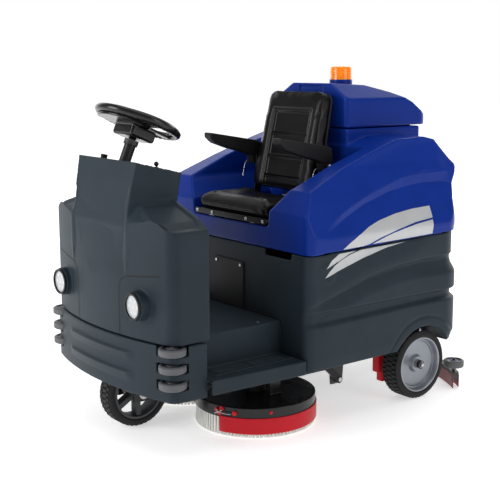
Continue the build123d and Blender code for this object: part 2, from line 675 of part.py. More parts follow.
def armrest(side):
    bar = [(-638, 1209), (-636, 1184), (-605, 1158), (-530, 1132), (-440, 1108), (-394, 1092),
           (-380, 1052), (-338, 1052), (-330, 1090), (-338, 1150), (-356, 1162)]
    x0, x1 = sorted((side * 226, side * 276))
    arm = prism_x(bar, x0, x1)
    arm = fillet(arm.edges().filter_by(Axis.X), 6)
    return arm - rod_x(-262.5, 262.5, ARM_PIVOT_Y, ARM_PIVOT_Z, 6 + RUNNING)


# ---- Scrub deck
def deck_block(radius, half_depth, low, high):
    block = box(-BRUSH_X, BRUSH_X, BRUSH_Y - half_depth, BRUSH_Y + half_depth, low, high)
    for side in (1, -1):
        block += rod_z(side * BRUSH_X, BRUSH_Y, low, high, radius)
    return block


def brush_deck():
    deck = deck_block(DECK_RADIUS, 150, 80, DECK_TOP) - deck_block(DECK_RADIUS - 5, 145, 80, DECK_TOP - 8)
    for side in (1, -1):
        deck -= rod_z(side * BRUSH_X, BRUSH_Y, 80, DECK_TOP, 17)
        x0, x1 = sorted((side * 367, side * 377))
        deck += box(x0, x1, TRUNNION_Y - 30, TRUNNION_Y + 30, DECK_TOP - 2, TRUNNION_Z)
        deck += rod_x(x0, x1, TRUNNION_Y, TRUNNION_Z, 18)
    return deck - rod_x(-390, 390, TRUNNION_Y, TRUNNION_Z, 10 + RUNNING)


def deck_arms():
    """Two cranked arms joined by a tube, which lift the deck by its trunnions."""
    crank = [(DECK_ARM_Y, DECK_ARM_Z - 18), (DECK_ARM_Y, DECK_ARM_Z + 18), (-430, TRUNNION_Z + 14),
             (TRUNNION_Y, TRUNNION_Z + 18), (TRUNNION_Y, TRUNNION_Z - 16), (-440, TRUNNION_Z - 20)]
    arms = Part()
    for side in (1, -1):
        x0, x1 = sorted((side * 353, side * 365))
        arms += prism_x(crank, x0, x1)
        arms += rod_x(x0, x1, DECK_ARM_Y, DECK_ARM_Z, 18)
        arms += rod_x(x0, x1, TRUNNION_Y, TRUNNION_Z, 16)
        x0, x1 = sorted((side * 365, side * 384))
        arms += rod_x(x0, x1, TRUNNION_Y, TRUNNION_Z, 10)
    arms += rod_x(-356, 356, -440, TRUNNION_Z, 12)
    return arms - rod_x(-400, 400, DECK_ARM_Y, DECK_ARM_Z, 10 + RUNNING)


def brush_motors():
    motor = rod_z(BRUSH_X, BRUSH_Y, DECK_TOP, 244, MOTOR_RADIUS)
    motor = fillet(motor.edges().filter_by(GeomType.CIRCLE).sort_by(Axis.Z)[-1], 6)
    motor += rod_z(BRUSH_X, BRUSH_Y, 84, DECK_TOP, 15)
    return both(motor)


def splash_skirt():
    """Two curved skirts clipped round the outside and back of each brush, open at the front."""
    ring = rod_z(BRUSH_X, BRUSH_Y, 20, 88, DECK_RADIUS + 5) - rod_z(BRUSH_X, BRUSH_Y, 20, 88, DECK_RADIUS)
    ring -= box(-100, SKIRT_FRONT, -1100, BRUSH_Y, 0, 200)
    ring -= box(-100, BRUSH_X - 60, BRUSH_Y, -400, 0, 200)
    return both(ring)


def brush(side):
    x, y = side * BRUSH_X, BRUSH_Y
    block = rod_z(x, y, 72, 96, BRUSH_RADIUS - 8) + rod_z(x, y, 96, 114, 42)
    bristles = rod_z(x, y, 3, 72, BRUSH_RADIUS) - rod_z(x, y, 3, 72, 95)
    block -= rod_z(x, y, 72, 114, 15 + RUNNING)
    return [block, bristles]


# ---- Squeegee
def bow(offset_in, offset_out, half, low, high):
    """A bar that follows the squeegee's curve, between two offsets from it."""
    edges = []
    for offset in (offset_in, offset_out):
        edges.append(ThreePointArc((-half, SQUEEGEE_TIP + offset), (0, SQUEEGEE_MID + offset),
                                   (half, SQUEEGEE_TIP + offset)))
    ends = [Line((side * half, SQUEEGEE_TIP + offset_in), (side * half, SQUEEGEE_TIP + offset_out))
            for side in (1, -1)]
    face = make_face(Curve() + edges + ends)
    return extrude(Pos(0, 0, low) * face, high - low)


def squeegee_arm():
    bar = prism_x([(94, 176), (94, 206), (126, 206), (300, 142), (356, 142), (356, 114), (290, 114)], -22, 22)
    bar = bar - rod_x(-30, 30, SQUEEGEE_ARM_Y, SQUEEGEE_ARM_Z, 8 + RUNNING)
    return bar - rod_z(0, SWIVEL_Y, 100, 150, 10 + RUNNING)


def squeegee_body():
    body = bow(-18, 18, SQUEEGEE_HALF, 44, 80)
    body += box(-70, 70, SWIVEL_Y - 36, 392, 80, 94)
    body += rod_z(0, SWIVEL_Y, 94, 111, 26) + rod_z(0, SWIVEL_Y, 111, 156, 10)
    pins = both(rod_z(GUIDE_X, GUIDE_Y, 80, 146, 8))
    return [body] + pins


def squeegee_blades():
    return [bow(-22, -18, SQUEEGEE_HALF, 4, 66), bow(18, 22, SQUEEGEE_HALF, 3, 66)]


def guide_roller(side):
    roller = rod_z(side * GUIDE_X, GUIDE_Y, 106, 138, GUIDE_RADIUS)
    roller = fillet(roller.edges().filter_by(GeomType.CIRCLE), 6)
    return roller - rod_z(side * GUIDE_X, GUIDE_Y, 100, 150, 8 + RUNNING)


# ---- Write every sub-part
os.makedirs("parts", exist_ok=True)

save("chassis_frame", chassis_frame())
save("pivot_pins", *pivot_pins())
save("rear_axles", *rear_axles())
save("front_fairing", front_fairing())
save("front_bumper", front_bumper())
save("headlight_bezels", *headlight_bezels())
save("headlight_lenses", *headlight_lenses())
save("dash_panel", *dash_panel())
save("steering_column", steering_column())
save("floor_pan", floor_pan())
save("pedal_pivots", *pedal_pivots())
save("lower_body", *lower_body())
save("bulkhead_panel", bulkhead_panel())
save("cover_screws", *cover_screws())
save("batteries", *batteries())
save("solution_tank", solution_tank())

save("steering_rim", steering_rim())
save("steering_hub", steering_hub())
save("direction_lever", direction_lever())
save("speed_knob", speed_knob())
save("key_switch", key_switch())
save("accelerator_pedal", pedal(-150, 120, 60))
save("brake_pedal", pedal(-40, 95, 62))

save("drive_fork", drive_fork())
save("drive_motor", drive_motor())
drive_tyre = tyre(-DRIVE_WIDTH / 2, DRIVE_WIDTH / 2, 0, DRIVE_RADIUS, DRIVE_RIM_RADIUS, 16)
save("drive_tyre", Pos(0, -WHEELBASE, 0) * drive_tyre)
save("drive_rim", drive_rim())

rear_tyre = tyre(REAR_TRACK_HALF - REAR_WIDTH / 2, REAR_TRACK_HALF + REAR_WIDTH / 2, 0,
                 REAR_RADIUS, RIM_RADIUS, 14)
save("rear_tyre_left", rear_tyre)
save("rear_tyre_right", mirrored(rear_tyre))
save("rear_rim_left", rear_rim())
save("rear_rim_right", mirrored(rear_rim()))

for side_name, side_sign in (("left", 1), ("right", -1)):
    for number, height in enumerate(ROLLER_CENTRES, 1):
        save(f"bumper_roller_{side_name}_{number}", bumper_roller(side_sign, height))
    save(f"armrest_{side_name}", armrest(side_sign))
    save(f"brush_{side_name}", *brush(side_sign))
    save(f"guide_roller_{side_name}", guide_roller(side_sign))

save("recovery_tank", *recovery_tank())
save("vacuum_motor", vacuum_motor())
save("seat_rails", *seat_rails())
save("tank_lid", tank_lid())
save("beacon_base", beacon_base())
save("beacon_lens", beacon_lens())
save("seat_pan", *seat_pan())
save("seat_cushion", seat_cushion())
save("backrest_shell", *backrest_shell())
save("backrest_cushion", backrest_cushion())

save("deck_arms", deck_arms())
save("brush_deck", brush_deck())
save("brush_motors", *brush_motors())
save("splash_skirt", *splash_skirt())
save("squeegee_arm", squeegee_arm())
save("squeegee_body", *squeegee_body())
save("squeegee_blades", *squeegee_blades())
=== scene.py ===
import math

import bmesh
import bpy
import numpy as np
from mathutils import Matrix, Vector, noise
from mathutils.bvhtree import BVHTree


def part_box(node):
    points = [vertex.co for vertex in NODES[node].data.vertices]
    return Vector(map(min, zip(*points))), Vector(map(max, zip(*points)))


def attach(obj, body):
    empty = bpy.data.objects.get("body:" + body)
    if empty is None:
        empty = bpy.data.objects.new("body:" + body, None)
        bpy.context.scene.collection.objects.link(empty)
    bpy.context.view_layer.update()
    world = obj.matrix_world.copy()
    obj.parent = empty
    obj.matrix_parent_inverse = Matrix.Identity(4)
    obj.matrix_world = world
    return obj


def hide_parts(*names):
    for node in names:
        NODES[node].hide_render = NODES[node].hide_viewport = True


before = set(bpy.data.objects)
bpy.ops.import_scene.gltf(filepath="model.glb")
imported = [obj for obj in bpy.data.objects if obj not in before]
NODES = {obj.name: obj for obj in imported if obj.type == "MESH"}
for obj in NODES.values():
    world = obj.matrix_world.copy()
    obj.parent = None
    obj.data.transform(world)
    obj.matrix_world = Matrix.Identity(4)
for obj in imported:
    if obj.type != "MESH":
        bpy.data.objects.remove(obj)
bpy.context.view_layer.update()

HUB_LOW, HUB_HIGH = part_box("rear_tyre_left")
CY = (HUB_LOW.y + HUB_HIGH.y) / 2  # the frame's origin lies this far in front of the rear axle


def at(x, y, z):
    """A point measured from the middle of the rear axle's line on the floor."""
    return Vector((x, y + CY, z))


# ---------------------------------------------------------------- materials

def node(tree, kind, **values):
    made = tree.nodes.new(kind)
    for name, value in values.items():
        if hasattr(made, name):
            setattr(made, name, value)
        else:
            made.inputs[name.replace("_", " ")].default_value = value
    return made


def ramp(tree, source, stops):
    made = tree.nodes.new("ShaderNodeValToRGB")
    while len(made.color_ramp.elements) < len(stops):
        made.color_ramp.elements.new(0.5)
    for element, (place, colour) in zip(made.color_ramp.elements, stops):
        element.position = place
        element.color = (*colour, 1)
    tree.links.new(source, made.inputs[0])
    return made.outputs[0]


def shade(colour, factor):
    return tuple(min(1.0, c * factor) for c in colour)


def material(name, colour, rough=0.5, metal=0.0, grain=900.0, depth=0.0002, mottle=0.12, cloud=6.0,
             wear=0.0, worn=None, coat=0.0, stretch=(1, 1, 1), **sockets):
    """A moulded, cast or painted surface: clouded colour, grain, uneven gloss and worn edges."""
    made = bpy.data.materials.new(name)
    made.use_nodes = True
    tree = made.node_tree
    surface = tree.nodes["Principled BSDF"]
    place = tree.nodes.new("ShaderNodeTexCoord").outputs["Object"]
    if stretch != (1, 1, 1):
        mapping = tree.nodes.new("ShaderNodeMapping")
        mapping.inputs["Scale"].default_value = stretch
        tree.links.new(place, mapping.inputs["Vector"])
        place = mapping.outputs[0]
    clouds = node(tree, "ShaderNodeTexNoise", Scale=cloud, Detail=4.0, Roughness=0.6)
    fine = node(tree, "ShaderNodeTexNoise", Scale=grain, Detail=2.0, Roughness=0.5)
    for texture in (clouds, fine):
        tree.links.new(place, texture.inputs["Vector"])
    base = ramp(tree, clouds.outputs["Fac"], [(0.3, shade(colour, 1 - mottle)),
                                              (0.7, shade(colour, 1 + mottle))])
    if wear:
        edge = tree.nodes.new("ShaderNodeNewGeometry").outputs["Pointiness"]
        mask = ramp(tree, edge, [(0.515, (0, 0, 0)), (0.60, (wear, wear, wear))])
        blend = tree.nodes.new("ShaderNodeMix")
        blend.data_type = "RGBA"
        tree.links.new(mask, blend.inputs[0])
        tree.links.new(base, blend.inputs[6])
        blend.inputs[7].default_value = (*(worn or shade(colour, 2.2)), 1)
        base = blend.outputs[2]
    tree.links.new(base, surface.inputs["Base Color"])
    gloss = node(tree, "ShaderNodeMapRange")
    gloss.inputs["To Min"].default_value = max(0.02, rough - 0.06)
    gloss.inputs["To Max"].default_value = min(1.0, rough + 0.06)
    tree.links.new(clouds.outputs["Fac"], gloss.inputs["Value"])
    tree.links.new(gloss.outputs[0], surface.inputs["Roughness"])
    bump = tree.nodes.new("ShaderNodeBump")
    bump.inputs["Strength"].default_value = 0.5
    bump.inputs["Distance"].default_value = depth
    tree.links.new(fine.outputs["Fac"], bump.inputs["Height"])
    tree.links.new(bump.outputs[0], surface.inputs["Normal"])
    surface.inputs["Metallic"].default_value = metal
    surface.inputs["Coat Weight"].default_value = coat
    surface.inputs["Coat Roughness"].default_value = 0.12
    for socket, value in sockets.items():
        surface.inputs[socket.replace("_", " ")].default_value = value
    return made


GREY = material("grey_shell", (0.022, 0.033, 0.043), 0.46, grain=700, depth=0.00025, mottle=0.10, wear=0.35,
                worn=(0.055, 0.068, 0.082), Specular_IOR_Level=0.13)
BLUE = material("blue_shell", (0.002, 0.026, 0.245), 0.34, grain=260, depth=0.0003, mottle=0.08, wear=0.25,
                worn=(0.02, 0.07, 0.40), coat=0.03, Specular_IOR_Level=0.12)
BLACK = material("black_plastic", (0.009, 0.009, 0.010), 0.5, grain=1100, depth=0.0003, wear=0.3,
                 worn=(0.04, 0.04, 0.04), Specular_IOR_Level=0.22)
GLOSS = material("black_gloss", (0.007, 0.007, 0.008), 0.26, grain=500, depth=0.0001, wear=0.2, coat=0.15,
                 worn=(0.03, 0.03, 0.03), Specular_IOR_Level=0.30)
STEEL_BLACK = material("black_steel", (0.009, 0.009, 0.010), 0.42, metal=0.0, grain=800, depth=0.0002,
                       wear=0.6, worn=(0.09, 0.09, 0.09), coat=0.08, Specular_IOR_Level=0.25)
ZINC = material("bright_steel", (0.50, 0.50, 0.52), 0.28, metal=1.0, grain=600, depth=0.00005, cloud=40,
                mottle=0.08, stretch=(1, 1, 6))
SILVER = material("wheel_silver", (0.25, 0.27, 0.30), 0.36, metal=0.55, grain=900, depth=0.00008, cloud=30,
                  mottle=0.05, wear=0.3, worn=(0.75, 0.76, 0.78), coat=0.3)
RUBBER = material("black_tyre", (0.011, 0.011, 0.012), 0.72, grain=420, depth=0.0006, mottle=0.25, cloud=14,
                  wear=0.5, worn=(0.05, 0.05, 0.05), Specular_IOR_Level=0.25)
ROLLER = material("roller_grey", (0.042, 0.045, 0.052), 0.55, grain=600, depth=0.0003, cloud=25, wear=0.6,
                  worn=(0.2, 0.2, 0.21))
RED = material("red_plastic", (0.56, 0.008, 0.018), 0.36, grain=400, depth=0.0002, coat=0.06, wear=0.2,
               worn=(0.75, 0.06, 0.07), Specular_IOR_Level=0.15)
BLADE = material("blade_red", (0.16, 0.007, 0.014), 0.42, grain=300, depth=0.0002, Subsurface_Weight=0.1)
BRISTLE = material("bristle", (0.84, 0.83, 0.79), 0.62, grain=1500, depth=0.0004, mottle=0.2, cloud=90,
                   stretch=(1, 1, 0.1))
CASE = material("battery_case", (0.020, 0.020, 0.023), 0.45, grain=800, depth=0.0003)
WHITE = material("tank_white", (0.60, 0.60, 0.57), 0.45, grain=300, depth=0.0003, Subsurface_Weight=0.15)
AMBER = material("amber_lens", (1.0, 0.27, 0.0), 0.18, grain=200, depth=0.0001, mottle=0.12, cloud=30,
                 coat=0.25,
                 Subsurface_Weight=0.25, Emission_Color=(1.0, 0.25, 0.0, 1), Emission_Strength=0.22)
LENS = material("clear_lens", (0.93, 0.95, 0.97), 0.08, grain=300, depth=0.0002, mottle=0.03, coat=0.5,
                Transmission_Weight=0.55)
MIRROR = material("lamp_reflector", (0.42, 0.43, 0.45), 0.16, metal=1.0, grain=200, depth=0.0001, mottle=0.04)
DECAL = material("silver_decal", (0.52, 0.53, 0.54), 0.38, metal=0.15, grain=900, depth=0.00004, mottle=0.06,
                 cloud=5, coat=0.3)
# near-black for strips laid on a surface: painted shade in place of the shadow inside a seam gap
SEAM_SHADE = material("seam_painted_shade", (0.004, 0.004, 0.005), 0.8, grain=300, depth=0.0001)


def paint(name, made):
    """Gives a CAD node a better material."""
    mesh = NODES[name].data
    mesh.materials.clear()
    mesh.materials.append(made)
    NODES[name].material_slots[0].material = made


# ---------------------------------------------------------------- shapes

def settle(piece, body, replaced=()):
    """Puts a finished piece on its body, and hides the CAD nodes it stands for."""
    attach(piece, body)
    if replaced:
        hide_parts(*replaced)
    return piece


def mesh_object(name, verts, faces, made, smooth=True):
    data = bpy.data.meshes.new(name)
    data.from_pydata([tuple(v) for v in verts], [], faces)
    data.validate()
    piece = bpy.data.objects.new(name, data)
    bpy.context.scene.collection.objects.link(piece)
    data.materials.append(made)
    if smooth:
        data.shade_smooth()
    return piece


def sharpen(piece, angle=35):
    """Smooth shading that keeps the edges sharper than the angle."""
    piece.data.shade_smooth()
    mesh = bmesh.new()
    mesh.from_mesh(piece.data)
    for edge in mesh.edges:
        edge.smooth = len(edge.link_faces) != 2 or edge.calc_face_angle(0) < math.radians(angle)
    mesh.to_mesh(piece.data)
    mesh.free()
    return piece


def bevelled(piece, width, segments=3, angle=35):
    bevel = piece.modifiers.new("edges", "BEVEL")
    bevel.width = width
    bevel.segments = segments
    bevel.limit_method = "ANGLE"
    bevel.angle_limit = math.radians(angle)
    bevel.harden_normals = False
    return piece


def applied(piece):
    """The piece with its modifiers worked into its mesh."""
    bpy.context.view_layer.update()
    seen = piece.evaluated_get(bpy.context.evaluated_depsgraph_get())
    data = bpy.data.meshes.new_from_object(seen)
    piece.modifiers.clear()
    old = piece.data
    piece.data = data
    bpy.data.meshes.remove(old)
    return piece


def node_copy(name, *nodes):
    """One new object with copies of the CAD nodes' meshes."""
    mesh = bmesh.new()
    for each in nodes:
        mesh.from_mesh(NODES[each].data)
    bmesh.ops.remove_doubles(mesh, verts=mesh.verts, dist=1e-5)
    data = bpy.data.meshes.new(name)
    mesh.to_mesh(data)
    mesh.free()
    piece = bpy.data.objects.new(name, data)
    bpy.context.scene.collection.objects.link(piece)
    return piece


def points_of(piece):
    co = np.empty(len(piece.data.vertices) * 3)
    piece.data.vertices.foreach_get("co", co)
    return co.reshape(-1, 3)


def normals_of(piece):
    no = np.empty(len(piece.data.vertices) * 3)
    piece.data.vertex_normals.foreach_get("vector", no)
    return no.reshape(-1, 3)


def move_points(piece, co):
    piece.data.vertices.foreach_set("co", co.ravel())
    piece.data.update()


def moulded(name, nodes, made, voxel, rounds, form=None, after=3, relaxed=None, keep=1.0):
    """A roto-moulded shell: the CAD nodes' shape with its edges softened, then formed by the given form.

    relaxed(points) says which points are smoothed much more, and keep is the share of faces kept.
    """
    piece = node_copy(name, *nodes)
    remesh = piece.modifiers.new("even", "REMESH")
    remesh.mode = "VOXEL"
    remesh.voxel_size = voxel
    soft = piece.modifiers.new("soft", "SMOOTH")
    soft.factor = 0.5
    soft.iterations = rounds
    applied(piece)
    if form:
        co = points_of(piece)
        move_points(piece, form(co, normals_of(piece)))
        if after:
            soft = piece.modifiers.new("soft", "SMOOTH")
            soft.factor = 0.5
            soft.iterations = after
            applied(piece)
    if relaxed:
        chosen = piece.vertex_groups.new(name="relaxed")
        chosen.add([int(n) for n in np.nonzero(relaxed(points_of(piece)))[0]], 1.0, "REPLACE")
        soft = piece.modifiers.new("relaxed", "SMOOTH")
        soft.factor = 0.5
        soft.iterations = 60
        soft.vertex_group = "relaxed"
        applied(piece)
    if keep < 1:
        fewer = piece.modifiers.new("fewer", "DECIMATE")
        fewer.ratio = keep
        applied(piece)
    piece.data.materials.clear()
    piece.data.materials.append(made)
    piece.data.shade_smooth()
    return piece


def step(value, low, high):
    """0 below low, 1 above high, and a smooth rise between."""
    t = np.clip((value - low) / (high - low), 0, 1)
    return t * t * (3 - 2 * t)


def line_at(points, value):
    """The second coordinate of a line through the points, read at the first."""
    xs, ys = zip(*sorted(points))
    return np.interp(value, xs, ys)


# ---------------------------------------------------------------- camera, light, floor

CAMERA_PLACE = (3.5284, -3.35038, 1.50445)
CAMERA_HEADING, CAMERA_DOWN = math.radians(51.891), math.radians(10.352)
CAMERA_LENS_MM, CAMERA_SENSOR_MM = 72, 36
WORLD_LIGHT = 0.24
FLOOR_REACH = 30
WALL_DISTANCE, WALL_HALF_WIDTH, WALL_HEIGHT = 5, 9, 6


def studio():
    scene = bpy.context.scene
    scene.view_settings.view_transform = "Standard"
    scene.view_settings.look = "None"
    heading, down = CAMERA_HEADING, CAMERA_DOWN
    back = Vector((math.sin(heading) * math.cos(down), -math.cos(heading) * math.cos(down), math.sin(down)))
    camera = bpy.data.objects.new("camera", bpy.data.cameras.new("camera"))
    scene.collection.objects.link(camera)
    camera.location = at(*CAMERA_PLACE)
    camera.rotation_euler = (-back).to_track_quat("-Z", "Y").to_euler()
    camera.data.lens = CAMERA_LENS_MM
    camera.data.sensor_width = CAMERA_SENSOR_MM
    scene.camera = camera

    world = bpy.data.worlds.new("studio")
    scene.world = world
    world.use_nodes = True
    tree = world.node_tree
    soft = tree.nodes["Background"]
    soft.inputs["Color"].default_value = (1, 1, 1, 1)
    soft.inputs["Strength"].default_value = WORLD_LIGHT
    # the empty studio is white to look at, and lights the machine only softly
    white, seen, either = (tree.nodes.new(kind) for kind in (
        "ShaderNodeBackground", "ShaderNodeLightPath", "ShaderNodeMixShader"))
    white.inputs["Color"].default_value = (1, 1, 1, 1)
    tree.links.new(seen.outputs["Is Camera Ray"], either.inputs[0])
    tree.links.new(soft.outputs[0], either.inputs[1])
    tree.links.new(white.outputs[0], either.inputs[2])
    tree.links.new(either.outputs[0], tree.nodes["World Output"].inputs["Surface"])

    for name, place, size, power in (
            ("top", (0.3, -0.4, 4.2), (3.6, 3.6), 52),
            ("left_front", (-1.0, -4.6, 2.0), (1.6, 2.4), 88),
            ("right", (4.6, 0.6, 2.4), (2.0, 2.6), 48),
            ("rear", (-0.6, 4.4, 2.6), (3.0, 2.0), 40)):
        light = bpy.data.objects.new(name, bpy.data.lights.new(name, "AREA"))
        scene.collection.objects.link(light)
        light.location = at(*place)
        light.rotation_euler = (at(0, -0.5, 0.6) - light.location).to_track_quat("-Z", "Y").to_euler()
        light.data.shape = "RECTANGLE"
        light.data.size, light.data.size_y = size
        light.data.energy = power

    corners = [(x * FLOOR_REACH, y * FLOOR_REACH, 0) for x, y in ((-1, -1), (1, -1), (1, 1), (-1, 1))]
    floor = mesh_object("floor", corners, [(0, 1, 2, 3)],
                        material("pale_floor", (0.90, 0.90, 0.90), 0.8, grain=60, depth=0.0001, mottle=0.01,
                                 cloud=0.6, Emission_Color=(1, 1, 1, 1), Emission_Strength=0.5))
    # the floor brightens away from the machine until it meets the white of the studio
    tree = floor.data.materials[0].node_tree
    reach = node(tree, "ShaderNodeVectorMath", operation="LENGTH")
    tree.links.new(tree.nodes["Texture Coordinate"].outputs["Object"], reach.inputs[0])
    glow = tree.nodes.new("ShaderNodeMapRange")
    for socket, value in (("From Min", 1.6), ("From Max", 9.0), ("To Min", 0.52), ("To Max", 0.95)):
        glow.inputs[socket].default_value = value
    tree.links.new(reach.outputs["Value"], glow.inputs["Value"])
    tree.links.new(glow.outputs[0], tree.nodes["Principled BSDF"].inputs["Emission Strength"])
    across = Vector((math.cos(heading), math.sin(heading), 0))
    away = at(0, 0, 0) + Vector((-math.sin(heading), math.cos(heading), 0)) * WALL_DISTANCE
    reach_out, up = across * WALL_HALF_WIDTH, Vector((0, 0, WALL_HEIGHT))
    wall = mesh_object("backdrop", [away - reach_out, away + reach_out, away + reach_out + up,
                                    away - reach_out + up], [(0, 1, 2, 3)],
                       material("backdrop_glow", (0.8, 0.8, 0.8), 0.9, grain=40, depth=0.0001, mottle=0.01,
                                Emission_Color=(1, 1, 1, 1), Emission_Strength=0.85))
    # it lights the far side, and a camera on that side sees past it
    wall.visible_camera = False


studio()

for name, made in {
        "chassis_frame": STEEL_BLACK, "pivot_pins": ZINC, "rear_axles": STEEL_BLACK,
        "headlight_bezels": BLACK,
        "headlight_lenses": LENS, "dash_panel": BLACK, "steering_column": STEEL_BLACK, "floor_pan": GREY,
        "pedal_pivots": ZINC, "bulkhead_panel": BLACK, "cover_screws": ZINC, "batteries": CASE,
        "solution_tank": WHITE, "steering_rim": GLOSS, "steering_hub": GLOSS, "direction_lever": GLOSS,
        "speed_knob": BLACK, "key_switch": ZINC, "accelerator_pedal": STEEL_BLACK, "brake_pedal": STEEL_BLACK,
        "drive_fork": STEEL_BLACK, "drive_motor": STEEL_BLACK, "drive_tyre": RUBBER, "drive_rim": BLACK,
        "vacuum_motor": STEEL_BLACK, "seat_rails": ZINC, "tank_lid": BLUE, "beacon_base": BLUE,
        "beacon_lens": AMBER, "seat_pan": STEEL_BLACK, "seat_cushion": BLACK, "backrest_shell": BLACK,
        "backrest_cushion": BLACK, "deck_arms": STEEL_BLACK, "brush_deck": GLOSS, "brush_motors": STEEL_BLACK,
        "splash_skirt": RED, "squeegee_arm": STEEL_BLACK, "squeegee_body": STEEL_BLACK,
        "squeegee_blades": BLADE,
        "front_fairing": GREY, "front_bumper": GREY, "lower_body": GREY, "recovery_tank": BLUE}.items():
    paint(name, made)
for side in ("left", "right"):
    for part, made in (("rear_tyre", RUBBER), ("rear_rim", SILVER), ("armrest", BLACK), ("brush", BRISTLE),
                       ("guide_roller", ROLLER)):
        paint(f"{part}_{side}", made)
    for number in (1, 2, 3):
        paint(f"bumper_roller_{side}_{number}", ROLLER)


# ---------------------------------------------------------------- turned and drawn pieces

def lathe(name, profile, centre, axis, made, segments=64, closed=False):
    """Turns a profile of (along, radius) pairs about an axis through the centre."""
    along = Vector(axis).normalized()
    side = along.orthogonal().normalized()
    other = along.cross(side)
    verts, faces = [], []
    for n in range(segments):
        angle = math.tau * n / segments
        spoke = side * math.cos(angle) + other * math.sin(angle)
        verts += [Vector(centre) + along * h + spoke * r for h, r in profile]
    count = len(profile)
    for n in range(segments):
        here, there = n * count, (n + 1) % segments * count
        for k in range(count if closed else count - 1):
            m = (k + 1) % count
            faces.append((here + k, here + m, there + m, there + k))
    piece = mesh_object(name, verts, faces, made)
    mesh = bmesh.new()
    mesh.from_mesh(piece.data)
    bmesh.ops.remove_doubles(mesh, verts=mesh.verts, dist=1e-6)
    bmesh.ops.recalc_face_normals(mesh, faces=mesh.faces)
    mesh.to_mesh(piece.data)
    mesh.free()
    return sharpen(piece, 38)


def joined(name, *pieces):
    """Several pieces as one object, with their materials."""
    made = []
    mesh = bmesh.new()
    for piece in pieces:
        before = len(mesh.faces)
        mesh.from_mesh(piece.data)
        mesh.faces.ensure_lookup_table()
        for material_of_piece in piece.data.materials:
            if material_of_piece not in made:
                made.append(material_of_piece)
        slots = [made.index(m) for m in piece.data.materials]
        for face in mesh.faces[before:]:
            face.material_index = slots[min(face.material_index, len(slots) - 1)]
        bpy.data.objects.remove(piece)
    data = bpy.data.meshes.new(name)
    mesh.to_mesh(data)
    mesh.free()
    for each in made:
        data.materials.append(each)
    whole = bpy.data.objects.new(name, data)
    bpy.context.scene.collection.objects.link(whole)
    return whole


def rounded_box(name, low, high, radius, made, segments=3):
    mesh = bmesh.new()
    bmesh.ops.create_cube(mesh, size=1)
    for vert in mesh.verts:
        for k in range(3):
            vert.co[k] = low[k] if vert.co[k] < 0 else high[k]
    bmesh.ops.bevel(mesh, geom=mesh.edges[:], offset=radius, segments=segments, profile=0.5, affect="EDGES")
    data = bpy.data.meshes.new(name)
    mesh.to_mesh(data)
    mesh.free()
    piece = bpy.data.objects.new(name, data)
    bpy.context.scene.collection.objects.link(piece)
    data.materials.append(made)
    data.shade_smooth()
    return sharpen(piece, 50)


def rod(name, points, radius, made, order=3):
    """A bent round bar through the points, as a mesh."""
    curve = bpy.data.curves.new(name, "CURVE")
    curve.dimensions = "3D"
    curve.bevel_depth = radius
    curve.bevel_resolution = 4
    curve.use_fill_caps = True
    curve.resolution_u = 6
    spline = curve.splines.new("NURBS")
    spline.points.add(len(points) - 1)
    for point, place in zip(spline.points, points):
        point.co = (*place, 1)
    spline.order_u = min(order, len(points))
    spline.use_endpoint_u = True
    drawn = bpy.data.objects.new(name + "_line", curve)
    bpy.context.scene.collection.objects.link(drawn)
    bpy.context.view_layer.update()
    data = bpy.data.meshes.new_from_object(drawn.evaluated_get(bpy.context.evaluated_depsgraph_get()))
    bpy.data.objects.remove(drawn)
    data.materials.clear()
    data.materials.append(made)
    data.shade_smooth()
    piece = bpy.data.objects.new(name, data)
    bpy.context.scene.collection.objects.link(piece)
    return piece


def bolt(name, centre, axis, radius, made=ZINC, dome=False):
    """A hexagon head on a washer, or a domed head."""
    washer = lathe(name + "_washer", [(0, 0), (0, radius * 1.5), (radius * 0.25, radius * 1.45),
                                      (radius * 0.3, 0)], centre, axis, made, 24)
    if dome:
        shape = [(radius * 0.25, radius * 1.1), (radius * 0.6, radius), (radius * 0.9, radius * 0.6),
                 (radius, 0)]
        head = lathe(name + "_head", shape, centre, axis, made, 20)
    else:
        shape = [(radius * 0.25, radius), (radius * 0.85, radius), (radius, radius * 0.82), (radius, 0)]
        head = lathe(name + "_head", shape, centre, axis, made, 6)
        head.data.shade_flat()
    return joined(name, washer, head)


def surface_tree(*pieces):
    """A tree for casting rays at the pieces, as they are now."""
    verts, faces = [], []
    for piece in pieces:
        start = len(verts)
        verts += [v.co.copy() for v in piece.data.vertices]
        faces += [tuple(start + v for v in p.vertices) for p in piece.data.polygons]
    return BVHTree.FromPolygons(verts, faces)


def seam_height(y):
    """The line where the upper body meets the lower one, by the distance behind the axle."""
    return 0.745 + (y + 0.700) / 0.950 * 0.024


